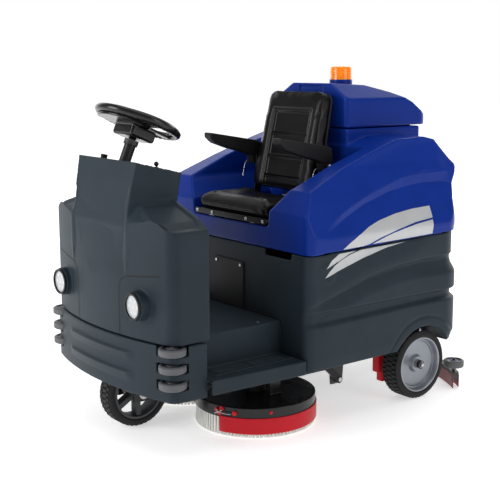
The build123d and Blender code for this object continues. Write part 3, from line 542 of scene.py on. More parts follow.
def film(name, outline, tree, side, lift, made, above, pitch=0.010):
    """A thin film with this (y, z) outline, laid on the surface seen from one side, clear of the seam."""
    mesh = bmesh.new()
    clear = []
    for y, z in outline:
        edge = seam_height(y)
        clear.append((y, max(z, edge + 0.007) if above else min(z, edge - 0.010)))
    mesh.faces.new([mesh.verts.new(at(0, y, z)) for y, z in clear])
    for axis in (1, 2):
        values = [v.co[axis] for v in mesh.verts]
        place = min(values) + pitch
        while place < max(values):
            normal = Vector((0, 1, 0) if axis == 1 else (0, 0, 1))
            bmesh.ops.bisect_plane(mesh, geom=mesh.verts[:] + mesh.edges[:] + mesh.faces[:],
                                   plane_co=normal * place, plane_no=normal)
            place += pitch
    bmesh.ops.triangulate(mesh, faces=mesh.faces[:])
    for vert in mesh.verts:
        hit = tree.ray_cast(Vector((side * 0.9, vert.co.y, vert.co.z)), Vector((-side, 0, 0)))
        if not hit[0] or hit[0].x * side < 0.45:
            hit = tree.find_nearest(Vector((side * 0.56, vert.co.y, vert.co.z)))
        vert.co = hit[0] + hit[1] * lift
    bmesh.ops.recalc_face_normals(mesh, faces=mesh.faces)
    data = bpy.data.meshes.new(name)
    mesh.to_mesh(data)
    mesh.free()
    data.materials.append(made)
    data.shade_smooth()
    piece = bpy.data.objects.new(name, data)
    bpy.context.scene.collection.objects.link(piece)
    return piece


def ribbon(name, points, width, tree, towards, made, lift=0.0004):
    """A narrow strip along a line of points, dropped on the surface."""
    aim = Vector(towards).normalized()
    line = []
    for start, end in zip(points, points[1:]):
        start, end = Vector(start), Vector(end)
        count = max(1, int((end - start).length / 0.008))
        line += [start.lerp(end, n / count) for n in range(count)]
    line.append(Vector(points[-1]))
    verts, faces = [], []
    for n, place in enumerate(line):
        ahead = (line[min(n + 1, len(line) - 1)] - line[max(n - 1, 0)]).normalized()
        across = ahead.cross(aim).normalized() * width / 2
        for offset in (-across, across):
            hit = tree.ray_cast(place + offset - aim * 0.4, aim)
            verts.append(hit[0] + hit[1] * lift if hit[0] else place + offset)
        if n:
            faces.append((2 * n - 2, 2 * n - 1, 2 * n + 1, 2 * n))
    return mesh_object(name, verts, faces, made)


# ---------------------------------------------------------------- moulded shells

def rounded_plan(x, y, half, front, rear, radius):
    """Distance outside a rounded rectangle, and the way out of it."""
    middle, reach = (front + rear) / 2, (rear - front) / 2
    qx = np.abs(x) - half + radius
    qy = np.abs(y - middle) - reach + radius
    ox, oy = np.maximum(qx, 0), np.maximum(qy, 0)
    outside = np.hypot(ox, oy)
    gap = outside + np.minimum(np.maximum(qx, qy), 0) - radius
    corner = (qx > 0) & (qy > 0)
    gx = np.where(corner, ox / np.maximum(outside, 1e-9), (qx >= qy).astype(float)) * np.sign(x)
    gy = np.where(corner, oy / np.maximum(outside, 1e-9), (qx < qy).astype(float)) * np.sign(y - middle)
    return gap, gx, gy


def outer_skin(co, no, half, radius):
    """How far each point belongs to the outside of the body, and its way out."""
    x, y = co[:, 0], co[:, 1] - CY
    gap, gx, gy = rounded_plan(x, y, half, -0.70, 0.25, radius)
    facing = no[:, 0] * gx + no[:, 1] * gy
    return (facing > 0.15) & (gap > -0.16), gx, gy


def lower_form(co, no):
    """The swept crease, the long rib recess and the flared lower edge of the lower body."""
    y, z = co[:, 1] - CY, co[:, 2]
    skin, gx, gy = outer_skin(co, no, 0.535, 0.10)
    gap = rounded_plan(co[:, 0], y, 0.535, -0.70, 0.25, 0.10)[0]
    skin &= gap > -0.012
    amount = np.zeros(len(co))
    crease = line_at([(-0.72, 0.522), (-0.60, 0.553), (-0.484, 0.586), (-0.35, 0.624), (-0.20, 0.645),
                      (-0.05, 0.655), (0.30, 0.655)], y)
    rise = z - crease
    rear = step(y, -0.15, 0.15)
    over = (0.013 - 0.013 * rear) * step(rise, -0.004, 0.004) * (1 - step(rise, 0.02, 0.12))
    groove = -0.009 * step(rise, -0.052, -0.006) * (1 - step(rise, -0.004, 0.006))
    belly = (0.010 + 0.010 * rear) * (1 - step(rise, -0.085, -0.035))
    start = step(y, -0.715, -0.60)
    amount += start * (over + groove) + belly * (0.35 + 0.65 * start)
    top = 0.499 + 0.0 * y
    bottom = 0.436 + 0.012 * step(y, -0.7, 0.1)
    band = (1 - step(z, top - 0.005, top + 0.004)) * step(z, bottom, bottom + 0.022) * step(y, -0.722, -0.702)
    amount += band * (-0.016 - 0.005 * rear)
    amount *= 1 - (1 - step(z, 0.25, 0.30)) * 0.7
    arch = np.hypot(y, z - 0.16)
    amount += -0.004 * step(arch, 0.222, 0.230) * (1 - step(arch, 0.234, 0.246)) * (z < 0.42)
    tip = np.hypot((y + 0.60) / 0.055, (z - 0.66) / 0.05)
    amount += 0.004 * (1 - step(tip, 0.6, 1.1)) * step(z, 0.60, 0.63)
    amount *= 1 - step(z, 0.742, 0.762)
    amount *= skin * (1 - step(-gy, 0.45, 0.95))
    co = co.copy()
    co[:, 0] += gx * amount
    co[:, 1] += gy * amount
    return co


def upper_form(co, no):
    """The overhanging swoosh round the sides and back of the blue body."""
    y, z = co[:, 1] - CY, co[:, 2]
    skin, gx, gy = outer_skin(co, no, 0.548, 0.12)
    skin &= (np.abs(co[:, 0]) > 0.30) & (z > 0.79)
    edge = line_at([(-0.70, 0.80), (-0.608, 0.856), (-0.50, 0.91), (-0.404, 0.947), (-0.269, 0.990),
                    (-0.105, 1.032), (0.025, 1.044), (0.30, 1.040)], y)
    foot = line_at([(-0.70, 0.79), (-0.60, 0.83), (-0.492, 0.880), (-0.353, 0.932), (-0.192, 0.968),
                    (-0.022, 0.976), (0.30, 0.968)], y)
    rise = z - edge
    rear = 0.6 + 0.6 * step(y, -0.35, 0.15)
    over = 0.009 * step(rise, -0.010, 0.010) * (1 - step(rise, 0.02, 0.12))
    over = 0.010 * step(rise, -0.004, 0.004) * (1 - step(rise, 0.02, 0.14))
    depth = np.clip((edge - z) / np.maximum(edge - foot, 0.01), 0, 1)
    below = np.clip((foot - z) / np.maximum(foot - 0.79, 0.01), 0, 1)
    hollow = (z < edge) * (0.010 - 0.024 * depth) + (z < foot) * 0.016 * step(below, 0.0, 0.9)
    amount = rear * (over * (z >= edge) + hollow) * step(y, -0.68, -0.45)
    amount *= skin * (1 - step(-gy, 0.3, 0.9))
    co = co.copy()
    co[:, 0] += gx * amount
    co[:, 1] += gy * amount
    return co


def bumper_form(co, no):
    """Two long raised ribs across the nose, fading out at their ends."""
    x, z = co[:, 0], co[:, 2]
    front = step(-no[:, 1], 0.5, 0.8) * (co[:, 1] < CY - 1.29)
    ends = 1 - step(np.abs(x), 0.215, 0.27)
    amount = np.zeros(len(co))
    for top in (0.399, 0.318):
        amount += 0.013 * np.clip((z - top + 0.042) / 0.040, 0, 1) * (1 - step(z, top - 0.002, top + 0.003))
    amount *= front * ends
    co = co.copy()
    co[:, 1] -= amount
    return co


def column_foot(co):
    """Where the column's front face runs into the nose."""
    x, y, z = np.abs(co[:, 0]), co[:, 1] - CY, co[:, 2]
    return (x < 0.235) & (y < -1.28) & (z > 0.76) & (z < 1.02)


def cowl_form(co, no):
    """Dished shoulders beside the column, and a soft ridge below its corners."""
    x, y, z = np.abs(co[:, 0]), co[:, 1] - CY, co[:, 2]
    outside = (no[:, 2] > 0.35) & (x > 0.225) & (z > 0.86) & (z < 1.01)
    across = np.clip((x - 0.225) / 0.23, 0, 1)
    dish = outside * np.sin(np.pi * across) ** 1.0 * step(-y, 1.15, 1.19) * (1 - step(-y, 1.30, 1.37))
    front = step(-no[:, 1], 0.6, 0.85) * (y < -1.30)
    ridge = front * np.exp(-((x - 0.212) / 0.012) ** 2) * step(z, 0.66, 0.80) * (1 - step(z, 0.93, 1.02))
    co = co.copy()
    co[:, 2] -= 0.030 * dish
    co[:, 1] -= 0.003 * ridge
    blend = step(-no[:, 1], 0.5, 0.8) * (y < -1.28) * (1 - step(x, 0.196, 0.214))
    low = co[:, 1][(np.abs(z - 0.70) < 0.004) & (x < 0.02) & (y < -1.3)].mean()
    high = co[:, 1][(np.abs(z - 1.06) < 0.004) & (x < 0.02) & (y < -1.25)].mean()
    rise = np.clip((z - 0.70) / 0.36, 0, 1)
    bow = 0.055 * (x / 0.40) ** 2 * (1 - rise)
    target = low + (high - low) * (0.25 * rise + 0.75 * rise * rise) + bow
    weight = blend * step(z, 0.68, 0.76) * (1 - step(z, 1.00, 1.08))
    co[:, 1] += (target - co[:, 1]) * weight * 0.85
    return co


FINE = 0.0045

fairing = moulded("cowl", ["front_fairing"], GREY, 0.004, 7, cowl_form, 3, column_foot,
                  0.5)
settle(fairing, "chassis", ["front_fairing"])
settle(moulded("bumper", ["front_bumper"], GREY, 0.0035, 3, bumper_form, 0), "chassis",
                ["front_bumper"])
lower = moulded("lower_shell", ["lower_body"], GREY, FINE, 7, lower_form, 2, keep=0.35)
settle(lower, "chassis", ["lower_body"])
upper = settle(moulded("upper_shell", ["recovery_tank"], BLUE, FINE, 7, upper_form, 2, keep=0.35),
               "upper_body", ["recovery_tank"])
lid = moulded("lid_shell", ["tank_lid"], BLUE, 0.0045, 9, keep=0.6)
settle(lid, "tank_lid", ["tank_lid"])

# ---------------------------------------------------------------- decals, and painted shade along the lamp panel seams

DECALS = {
    "upper_body": [
        [(-0.515, 0.752), (-0.486, 0.776), (-0.43, 0.809), (-0.363, 0.839), (-0.295, 0.859), (-0.19, 0.878),
         (-0.08, 0.889), (0.037, 0.893), (0.035, 0.842), (-0.08, 0.832), (-0.187, 0.813), (-0.293, 0.787),
         (-0.365, 0.764), (-0.40, 0.750)],
        [(-0.345, 0.763), (-0.28, 0.783), (-0.223, 0.798), (-0.15, 0.812), (-0.08, 0.823), (0.032, 0.834),
         (0.032, 0.765), (-0.15, 0.760)]],
    "chassis": [
        [(-0.604, 0.684), (-0.570, 0.716), (-0.530, 0.744), (-0.505, 0.760), (-0.40, 0.760), (-0.43, 0.748),
         (-0.472, 0.733), (-0.538, 0.706)],
        [(-0.613, 0.646), (-0.585, 0.672), (-0.557, 0.691), (-0.515, 0.712), (-0.465, 0.730), (-0.405, 0.747),
         (-0.36, 0.760), (0.0, 0.770), (-0.06, 0.762), (-0.133, 0.752), (-0.254, 0.736), (-0.392, 0.707),
         (-0.505, 0.676)]]}

for body, outlines in DECALS.items():
    tree = surface_tree(upper if body == "upper_body" else lower)
    for side, word in ((1, "left"), (-1, "right")):
        for number, outline in enumerate(outlines, 1):
            film_piece = film(f"decal_{body}_{word}_{number}", outline, tree, side, 0.0008, DECAL,
                              body != "chassis")
            settle(film_piece, body)

tree = surface_tree(fairing)
# a near-black strip on the cowl along each lamp panel's seam: painted shade of the gap, with no groove cut
for side, word in ((1, "left"), (-1, "right")):
    seam = [(0.165, 0.458), (0.165, 0.62), (0.168, 0.655), (0.18, 0.682), (0.205, 0.698), (0.24, 0.704),
            (0.36, 0.718), (0.40, 0.722)]
    settle(ribbon(f"lamp_panel_seam_shade_{word}", [at(side * x, -1.37, z) for x, z in seam], 0.0055, tree,
                  (0, 1, 0), SEAM_SHADE), "chassis")


# ---------------------------------------------------------------- softened hard parts

def soften(nodes, body, made, voxel, rounds):
    """Rounds the edges of hard parts, each into its own piece."""
    for each in nodes:
        piece = moulded(each + "_soft", [each], made, voxel, rounds)
        settle(piece, body, [each])


soften(["steering_hub"], "steering_wheel", GLOSS, 0.003, 3)
soften(["armrest_left"], "armrest_left", BLACK, 0.003, 6)
soften(["armrest_right"], "armrest_right", BLACK, 0.003, 6)
soften(["backrest_shell"], "backrest", BLACK, 0.0035, 2)
soften(["floor_pan"], "chassis", GREY, 0.004, 3)
soften(["direction_lever"], "direction_lever", GLOSS, 0.0015, 3)
soften(["speed_knob"], "speed_knob", BLACK, 0.0015, 2)


# ---------------------------------------------------------------- seat

BACK_LEAN = math.radians(13)
BACK_UP = Vector((0, math.sin(BACK_LEAN), math.cos(BACK_LEAN)))
BACK_REAR = Vector((0, math.cos(BACK_LEAN), -math.sin(BACK_LEAN)))


def stuffed(name, nodes, made, held, form, cap=0.010, shrink=0.005, pressure=4.0):
    """A padded piece: the CAD solid, shrunk, blown up as cloth with `held` points fixed, then sewn."""
    piece = node_copy(name, *nodes)
    remesh = piece.modifiers.new("even", "REMESH")
    remesh.mode = "VOXEL"
    remesh.voxel_size = 0.006
    applied(piece)
    start = points_of(piece) - normals_of(piece) * shrink
    move_points(piece, start)
    fixed = piece.vertex_groups.new(name="fixed")
    fixed.add([int(n) for n in np.nonzero(held(start))[0]], 1.0, "REPLACE")
    cloth = piece.modifiers.new("cloth", "CLOTH")
    cloth.settings.vertex_group_mass = "fixed"
    cloth.settings.use_pressure = True
    cloth.settings.uniform_pressure_force = pressure
    cloth.settings.effector_weights.gravity = 0
    cloth.settings.quality = 4
    cloth.settings.tension_stiffness = 40
    cloth.settings.compression_stiffness = 40
    cloth.settings.bending_stiffness = 60
    scene = bpy.context.scene
    for frame_number in range(1, 21):
        scene.frame_set(frame_number)
    swollen = piece.evaluated_get(bpy.context.evaluated_depsgraph_get())
    end = np.empty(len(swollen.data.vertices) * 3)
    swollen.data.vertices.foreach_get("co", end)
    scene.frame_set(1)
    piece.modifiers.clear()
    moved = end.reshape(-1, 3) - start
    length = np.linalg.norm(moved, axis=1, keepdims=True)
    move_points(piece, start + moved * np.minimum(1, cap / np.maximum(length, 1e-9)))
    taut = piece.modifiers.new("taut", "SMOOTH")
    taut.factor = 0.5
    taut.iterations = 14
    applied(piece)
    finer = piece.modifiers.new("finer", "SUBSURF")
    finer.levels = 1
    applied(piece)
    move_points(piece, form(points_of(piece), normals_of(piece)))
    piece.data.materials.clear()
    piece.data.materials.append(made)
    piece.data.shade_smooth()
    return piece


def seat_form(co, no):
    """Raised side bolsters, a hollow between them, and a seam round the top edge."""
    x, y, z = np.abs(co[:, 0]), co[:, 1] - CY, co[:, 2]
    top = step(no[:, 2], 0.3, 0.8)
    along = step(y, -0.66, -0.58)
    amount = -0.016 * top * along * (1 - step(x, 0.10, 0.19))
    amount -= 0.005 * top * np.exp(-((x - 0.175) / 0.007) ** 2) * step(y, -0.665, -0.65)
    amount -= 0.005 * np.exp(-((y + 0.652) / 0.007) ** 2) * top * (x < 0.18)
    roll = np.exp(-((z - 0.893) / 0.005) ** 2) * (1 - top) * (z > 0.87)
    co = co.copy()
    nose = np.clip((-0.640 - y) / 0.060, 0, 1) ** 2
    amount -= 0.024 * nose * step(z, 0.88, 0.93)
    amount += 0.006 * step(y, -0.50, -0.43) * top
    co[:, 1] += 0.016 * np.clip((0.905 - z) / 0.040, 0, 1) ** 2 * (y < -0.66)
    co[:, 2] += amount
    co[:, 0] -= np.sign(co[:, 0]) * 0.003 * roll * (np.abs(no[:, 0]) > 0.5)
    co[:, 1] += 0.003 * roll * (no[:, 1] < -0.5)
    return co


def back_form(co, no):
    """A sunk middle panel between bolsters, crossed by sewn channels."""
    rear = np.array(BACK_REAR)
    up = (co[:, 1] - CY + 0.420) * BACK_UP.y + (co[:, 2] - 0.935) * BACK_UP.z
    x = np.abs(co[:, 0])
    front = step(-(no @ rear), 0.35, 0.8)
    inside = (1 - step(x, 0.112, 0.132)) * (1 - step(up, 0.372, 0.392))
    sunk = 0.011 * inside
    for height in (0.276, 0.168, 0.075):
        sunk += 0.006 * np.exp(-((up - height) / 0.006) ** 2) * inside
    edge = np.minimum(np.abs(x - 0.132) + 10 * (up > 0.392), np.abs(up - 0.392) + 10 * (x > 0.132))
    sunk += 0.004 * np.exp(-(edge / 0.006) ** 2)
    bolster = np.exp(-((x - 0.165) / 0.028) ** 2) * (1 - step(up, 0.34, 0.44))
    sunk -= 0.004 * bolster
    return co + rear * (sunk * front)[:, None]


VINYL = material("vinyl", (0.0030, 0.0030, 0.0030), 0.30, grain=420, depth=0.0004, mottle=0.15, cloud=20,
                 wear=0.2, worn=(0.014, 0.014, 0.014), coat=0.0, Specular_IOR_Level=0.24)
settle(stuffed("seat_pad", ["seat_cushion"], VINYL, lambda co: co[:, 2] < 0.875, seat_form, 0.011),
                 "seat", ["seat_cushion"])
back = settle(stuffed("back_pad", ["backrest_cushion"], VINYL,
                      lambda co: ((co[:, 1] - CY + 0.420) * BACK_REAR.y
                                  + (co[:, 2] - 0.935) * BACK_REAR.z > 0.040),
                      back_form, 0.009), "backrest", ["backrest_cushion"])

pan = settle(bevelled(node_copy("seat_base", "seat_pan"), 0.003), "seat", ["seat_pan"])
pan.data.materials.clear()
pan.data.materials.append(STEEL_BLACK)
fascia = [rounded_box("seat_fascia", at(-0.258, -0.7035, 0.8435), at(0.258, -0.6985, 0.868), 0.0018, BLACK)]
fascia += [bolt(f"seat_bolt_{n}", at(x, -0.7035, 0.856), (0, -1, 0), 0.0055, dome=True)
           for n, x in enumerate((-0.24, -0.125, 0.125, 0.24))]
settle(joined("seat_front_strip", *fascia), "seat")
buckle = [rounded_box("buckle_body", at(0.12, -0.475, 0.938), at(0.16, -0.43, 0.954), 0.004, BLACK),
          rounded_box("buckle_tongue", at(0.128, -0.500, 0.943), at(0.152, -0.474, 0.947), 0.0015, ZINC)]
settle(joined("belt_buckle", *buckle), "seat")

for side, word in ((1, "left"), (-1, "right")):
    settle(bolt(f"armrest_bolt_{word}", at(side * 0.2765, -0.353, 1.073), (side, 0, 0), 0.009, dome=True),
           f"armrest_{word}")
    settle(bolt(f"recliner_bolt_{word}", at(side * 0.2535, -0.372, 0.905), (side, 0, 0), 0.010), "seat")
    spring = [at(side * 0.247, -0.432, 0.995), at(side * 0.247, -0.425, 1.040),
              at(side * 0.247, -0.410, 1.068),
              at(side * 0.247, -0.395, 1.058), at(side * 0.247, -0.372, 1.030)]
    settle(rod(f"recliner_wire_{word}", spring, 0.0022, ZINC), "backrest")


# ---------------------------------------------------------------- wheels and rollers

def tyre(name, x0, x1, y, radius, bore, made, lugs, depth=0.005):
    """A solid tyre with three staggered rows of tread blocks."""
    half, middle = (x1 - x0) / 2, (x0 + x1) / 2
    rows = [(-half + 0.011, -half * 0.36), (-half * 0.30, half * 0.30), (half * 0.36, half - 0.011)]
    profile = [(-half + 0.005, bore, None), (-half, bore + 0.006, None), (-half, radius - 0.020, None),
               (-half + 0.003, radius - 0.009, None), (-half + 0.008, radius - 0.003, None)]
    for number, (start, end) in enumerate(rows):
        profile += [(start - 0.0015, radius - depth, None), (start, radius, number), (end, radius, number),
                    (end + 0.0015, radius - depth, None)]
    profile += [(half - 0.008, radius - 0.003, None), (half - 0.003, radius - 0.009, None),
                (half, radius - 0.020, None), (half, bore + 0.006, None), (half - 0.005, bore, None)]
    per = 6
    segments = lugs * per
    verts, faces = [], []
    for n in range(segments):
        for x, r, row in profile:
            if row is not None and (n + (3 if row == 1 else 0)) % per < 2:
                r -= depth
            angle = math.tau * n / segments
            verts.append(at(middle + x, y + r * math.sin(angle), radius + r * math.cos(angle)))
    count = len(profile)
    for n in range(segments):
        here, there = n * count, (n + 1) % segments * count
        for k in range(count):
            m = (k + 1) % count
            faces.append((here + k, here + m, there + m, there + k))
    piece = mesh_object(name, verts, faces, made)
    mesh = bmesh.new()
    mesh.from_mesh(piece.data)
    bmesh.ops.recalc_face_normals(mesh, faces=mesh.faces)
    mesh.to_mesh(piece.data)
    mesh.free()
    return sharpen(piece, 32)


RIM_PROFILE = [(-0.0460, 0.1278), (0.0462, 0.1278), (0.0478, 0.1262), (0.0476, 0.1228), (0.0420, 0.1186),
               (0.0260, 0.1166), (0.0236, 0.1150), (0.0230, 0.1085), (0.0165, 0.1050), (0.0140, 0.0985),
               (0.0120, 0.0500), (0.0122, 0.0420), (0.0195, 0.0375), (0.0285, 0.0330), (0.0290, 0.0215),
               (0.0380, 0.0205), (0.0382, 0.0122), (-0.0400, 0.0122), (-0.0400, 0.0300), (0.0040, 0.0340),
               (0.0040, 0.0980), (-0.0020, 0.1160), (-0.0460, 0.1166)]

for side, word in ((1, "left"), (-1, "right")):
    lo, hi = sorted((side * 0.430, side * 0.530))
    settle(tyre(f"rear_tread_{word}", lo, hi, 0, 0.160, 0.128, RUBBER, 44), f"rear_wheel_{word}",
           [f"rear_tyre_{word}"])
    settle(lathe(f"rear_dish_{word}", RIM_PROFILE, at(side * 0.480, 0, 0.160), (side, 0, 0), SILVER, 96,
                 True), f"rear_wheel_{word}", [f"rear_rim_{word}"])
    settle(bolt(f"axle_bolt_{word}", at(side * 0.5325, 0, 0.160), (side, 0, 0), 0.0095), "chassis")

settle(tyre("drive_tread", -0.045, 0.045, -1.210, 0.150, 0.118, RUBBER, 40), "drive_wheel", ["drive_tyre"])
rim = bevelled(node_copy("drive_spokes", "drive_rim"), 0.003)
rim.data.materials.clear()
rim.data.materials.append(ROLLER)
settle(rim, "drive_wheel", ["drive_rim"])
for side, word in ((1, "left"), (-1, "right")):
    settle(bolt(f"drive_nut_{word}", at(side * 0.0735, -1.210, 0.150), (side, 0, 0), 0.015), "drive_unit")

ROLLER_PROFILE = [(-0.0150, 0.0065), (-0.0150, 0.0490), (-0.0105, 0.0545), (0.0105, 0.0545), (0.0150, 0.0490),
                  (0.0150, 0.0400), (0.0115, 0.0385), (0.0115, 0.0235), (0.0145, 0.0220), (0.0150, 0.0065)]
for side, word in ((1, "left"), (-1, "right")):
    for number, z in enumerate((0.298, 0.365, 0.432), 1):
        settle(lathe(f"bumper_wheel_{word}_{number}", ROLLER_PROFILE, at(side * 0.431, -1.300, z),
                     (0, 0, 1), ROLLER,
                     72, True), f"bumper_roller_{word}_{number}", [f"bumper_roller_{word}_{number}"])

HUB_LILAC = material("hub_lilac", (0.22, 0.20, 0.32), 0.4, grain=500, depth=0.0002, mottle=0.1)
for side, word in ((1, "left"), (-1, "right")):
    ring = [(-0.0160, 0.0300), (-0.0160, 0.0440), (-0.0120, 0.0478), (0.0120, 0.0478), (0.0160, 0.0440),
            (0.0160, 0.0345), (0.0120, 0.0330), (0.0120, 0.0300)]
    hub = [(-0.0130, 0.0082), (-0.0130, 0.0302), (0.0118, 0.0302), (0.0090, 0.0270), (0.0090, 0.0150),
           (0.0160, 0.0130), (0.0160, 0.0082)]
    place = at(side * 0.520, 0.240, 0.122)
    both_parts = [lathe("ring", ring, place, (0, 0, 1), ROLLER, 64, True),
                  lathe("hub", hub, place, (0, 0, 1), HUB_LILAC, 48, True)]
    settle(joined(f"guide_wheel_{word}", *both_parts), f"guide_roller_{word}", [f"guide_roller_{word}"])


# ---------------------------------------------------------------- brushes and deck

def brush_head(name, side):
    """Rows of separate bristle tufts under a moulded block."""
    centre = at(side * 0.262, -0.760, 0)
    block = [(0.072, 0.0152), (0.072, 0.236), (0.078, 0.242), (0.090, 0.242), (0.096, 0.236), (0.096, 0.042),
             (0.114, 0.040), (0.114, 0.0152)]
    parts = [lathe("block", block, centre, (0, 0, 1), WHITE, 64, True)]
    verts, faces = [], []
    for inner, outer, count in ((0.2340, 0.2575, 100), (0.205, 0.230, 84), (0.176, 0.200, 70),
                                (0.146, 0.170, 56), (0.112, 0.136, 44)):
        for n in range(count):
            jitter = noise.noise(Vector((n * 1.7, count * 0.31, side * 4.0)))
            angle = math.tau * (n + 0.12 * jitter) / count
            width = math.tau * outer / count * 0.35
            out = Vector((math.cos(angle), math.sin(angle), 0))
            across = Vector((-out.y, out.x, 0))
            start = len(verts)
            top = 0.0795 if outer > 0.25 else 0.074
            for z, flare in ((0.003 + 0.0015 * abs(jitter), 1.0), (0.040, 0.93), (top, 0.84)):
                reach = outer + (0.0025 if z < 0.01 else 0.0)
                for r, w in ((inner, -width), (reach, -width), (reach, width), (inner, width)):
                    verts.append(centre + out * r + across * w * flare + Vector((0, 0, z)))
            for level in (0, 4):
                for k in range(4):
                    m = (k + 1) % 4
                    faces.append((start + level + k, start + level + m, start + level + 4 + m,
                                  start + level + 4 + k))
            faces += [(start + 3, start + 2, start + 1, start),
                      (start + 8, start + 9, start + 10, start + 11)]
    tufts = mesh_object("tufts", verts, faces, BRISTLE, smooth=False)
    parts.append(tufts)
    return joined(name, *parts)


for side, word in ((1, "left"), (-1, "right")):
    settle(brush_head(f"brush_head_{word}", side), f"brush_{word}", [f"brush_{word}"])

deck = moulded("deck_shell", ["brush_deck"], GLOSS, 0.003, 2)
settle(deck, "scrub_deck", ["brush_deck"])
skirt = bevelled(node_copy("skirts", "splash_skirt"), 0.0015)
skirt.data.materials.clear()
skirt.data.materials.append(RED)
settle(skirt, "scrub_deck", ["splash_skirt"])


def round_deck(side, angle, radius, z):
    """A point on the deck's rim, by the angle back from straight ahead of the brush."""
    turn = math.radians(angle)
    return at(side * (0.262 + radius * math.sin(turn)), -0.760 - radius * math.cos(turn), z)


for side, word in ((1, "left"), (-1, "right")):
    hooks = []
    wire = [round_deck(side, a, r, z) for a, r, z in ((14, 0.271, 0.120), (16, 0.278, 0.117),
                                                      (19, 0.279, 0.108),
                                                      (22, 0.276, 0.104), (26, 0.276, 0.103),
                                                      (30, 0.275, 0.104))]
    hooks.append(rod("clasp_wire", wire, 0.0022, ZINC))
    wire = [round_deck(side, a, 0.276, z) for a, z in ((14, 0.098), (17, 0.103), (20, 0.110), (22, 0.118))]
    hooks.append(rod("clasp_hook", wire, 0.0024, ZINC))
    for number, (angle, z) in enumerate(((15, 0.112), (18, 0.100), (20, 0.119), (33, 0.107)), 1):
        out = round_deck(side, angle, 1, 0) - round_deck(side, angle, 0, 0)
        hooks.append(lathe(f"clasp_pad_{number}", [(0, 0), (0, 0.010), (0.007, 0.010), (0.009, 0.006),
                                                   (0.009, 0)],
                           round_deck(side, angle, 0.2625, z), out, RED, 24))
    out = round_deck(side, 66, 1, 0) - round_deck(side, 66, 0, 0)
    hooks.append(lathe("deck_plug", [(0, 0), (0, 0.007), (0.004, 0.007), (0.006, 0.004), (0.006, 0)],
                       round_deck(side, 66, 0.2625, 0.112), out, RED, 24))
    settle(joined(f"skirt_clasp_{word}", *hooks), "scrub_deck")
    low_x, high_x = sorted((side * 0.365, side * 0.405))
    bracket = [rounded_box("upper", at(low_x, -0.150, 0.118), at(high_x, -0.088, 0.262), 0.005, RED),
               rounded_box("lower", at(low_x, -0.122, 0.070), at(high_x, -0.078, 0.125), 0.005, RED)]
    settle(joined(f"hose_bracket_{word}", *bracket), "chassis")

for name, source, body, made, slot, width in (
        ("deck_links", "deck_arms", "deck_arms", STEEL_BLACK, "black_steel", 0.002),
        ("squeegee_yoke", "squeegee_arm", "squeegee_arm", STEEL_BLACK, "black_steel", 0.002),
        ("squeegee_rail", "squeegee_body", "squeegee", STEEL_BLACK, "black_steel", 0.002),
        ("squeegee_lips", "squeegee_blades", "squeegee", BLADE, "blade_red", 0.001)):
    piece = bevelled(node_copy(name, source), width)
    piece.data.materials.clear()
    piece.data.materials.append(made)
    settle(piece, body, [source])


# ---------------------------------------------------------------- steering wheel, lamps, beacon

def steering_grip():
    """A thick rim with finger grips moulded into its underside."""
    co = points_of(NODES["steering_rim"])
    middle = (co.min(0) + co.max(0)) / 2
    axis = Vector(np.linalg.svd(co - middle, full_matrices=False)[2][2]).normalized()
    if axis.z < 0:
        axis.negate()
    side = Vector((1, 0, 0))
    other = axis.cross(side).normalized()
    verts, faces = [], []
    around, ring = 220, 20
    for n in range(around):
        turn = math.tau * n / around
        spoke = side * math.cos(turn) + other * math.sin(turn)
        for k in range(ring):
            angle = math.tau * k / ring
            inner = max(0.0, -math.cos(angle - 0.6))
            side_grip = 0.0035 * max(0.0, math.cos(turn) ** 2 - 0.45) / 0.55
            tube = 0.0160 + side_grip + 0.0012 * math.cos(40 * turn) * inner - 0.0006 * inner
            verts.append(Vector(middle) + spoke * (0.168 + tube * math.cos(angle))
                         + axis * tube * math.sin(angle))
    for n in range(around):
        here, there = n * ring, (n + 1) % around * ring
        for k in range(ring):
            m = (k + 1) % ring
            faces.append((here + k, here + m, there + m, there + k))
    piece = mesh_object("steering_grip", verts, faces, GLOSS)
    mesh = bmesh.new()
    mesh.from_mesh(piece.data)
    bmesh.ops.recalc_face_normals(mesh, faces=mesh.faces)
    mesh.to_mesh(piece.data)
    mesh.free()
    cap = lathe("steering_cap", [(-0.004, 0), (-0.004, 0.040), (0.004, 0.040), (0.008, 0.036), (0.011, 0.022),
                                 (0.012, 0)], Vector(middle), axis, BLACK, 48)
    settle(piece, "steering_wheel", ["steering_rim"])
    settle(cap, "steering_wheel")


steering_grip()

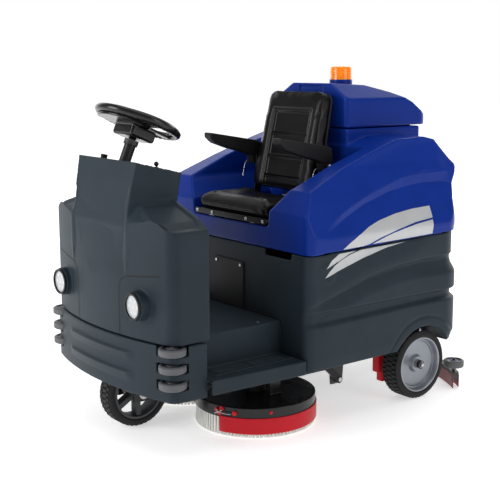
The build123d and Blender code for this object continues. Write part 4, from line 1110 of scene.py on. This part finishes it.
GLASS = material("lamp_glass", (0.62, 0.64, 0.67), 0.12, grain=150, depth=0.0006, mottle=0.30, cloud=120,
                 coat=0.5)
for side, word in ((1, "left"), (-1, "right")):
    parts = []
    place = at(side * 0.297, -1.3840, 0.596)
    parts.append(lathe("dish", [(-0.004, 0), (-0.004, 0.0455), (0.004, 0.0455), (0.004, 0.0435),
                                (0.0005, 0.040), (0.0005, 0)], place, (0, -1, 0), MIRROR, 48))
    for n in range(7):
        turn = math.tau * n / 6
        reach = 0 if n == 6 else 0.0285
        spot = place + Vector((reach * math.cos(turn), 0, reach * math.sin(turn)))
        cell = lathe("cell", [(0, 0.0150), (0.003, 0.0146), (0.0045, 0.0125), (0.0025, 0.0070),
                              (0.0060, 0.0050), (0.0068, 0)], spot, (0, -1, 0), GLASS, 6)
        cell.data.shade_flat()
        parts.append(cell)
    settle(joined(f"lamp_lens_{word}", *parts), "chassis")
    ring = [(-0.050, 0.0462), (-0.050, 0.0537), (0.0070, 0.0537), (0.0108, 0.0525), (0.0118, 0.0500),
            (0.0100, 0.0475), (0.0040, 0.0462)]
    settle(lathe(f"lamp_ring_{word}", ring, place, (0, -1, 0), BLACK, 72, True), "chassis")

settle(rounded_box("lid_recess_back", at(-0.084, -0.2195, 1.381), at(0.084, -0.2165, 1.426), 0.001, BLUE),
       "tank_lid")

low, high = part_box("beacon_lens")
centre, radius, height = (low + high) / 2, (high.x - low.x) / 2, high.z - low.z
profile = [(0, 0.0), (0, radius)]
for n in range(9):
    z = height * (0.06 + 0.80 * n / 9)
    profile += [(z, radius), (z + height * 0.055, radius), (z + height * 0.062, radius - 0.0022),
                (z + height * 0.082, radius - 0.0022)]
profile += [(height * 0.87, radius), (height * 0.94, radius * 0.96), (height * 0.985, radius * 0.82),
            (height, 0)]
settle(lathe("beacon_dome", profile, Vector((centre.x, centre.y, low.z)), (0, 0, 1), AMBER, 72), "tank_lid",
       ["beacon_lens"])
low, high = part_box("beacon_base")
piece = bevelled(node_copy("beacon_foot", "beacon_base"), 0.002)
piece.data.materials.clear()
piece.data.materials.append(BLUE)
settle(piece, "tank_lid", ["beacon_base"])

# ---------------------------------------------------------------- small fittings

for side, word in ((1, "left"), (-1, "right")):
    ribs = []
    for start in (-1.095, -0.915):
        for x in (0.385, 0.402, 0.419, 0.436):
            low_x, high_x = sorted((side * x, side * (x + 0.007)))
            ribs.append(rounded_box("rib", at(low_x, start, 0.3035), at(high_x, start + 0.165, 0.3090),
                                    0.002, GREY))
    low_x, high_x = sorted((side * 0.459, side * 0.467))
    ribs.append(rounded_box("rib", at(low_x, -1.125, 0.3030), at(high_x, -0.715, 0.3110), 0.003, GREY))
    settle(joined(f"step_tread_{word}", *ribs), "chassis")
for side, word in ((1, "left"), (-1, "right")):
    settle(bolt(f"arch_bolt_{word}", at(side * 0.5352, -0.020, 0.330), (side, 0, 0), 0.004, dome=True),
           "chassis")
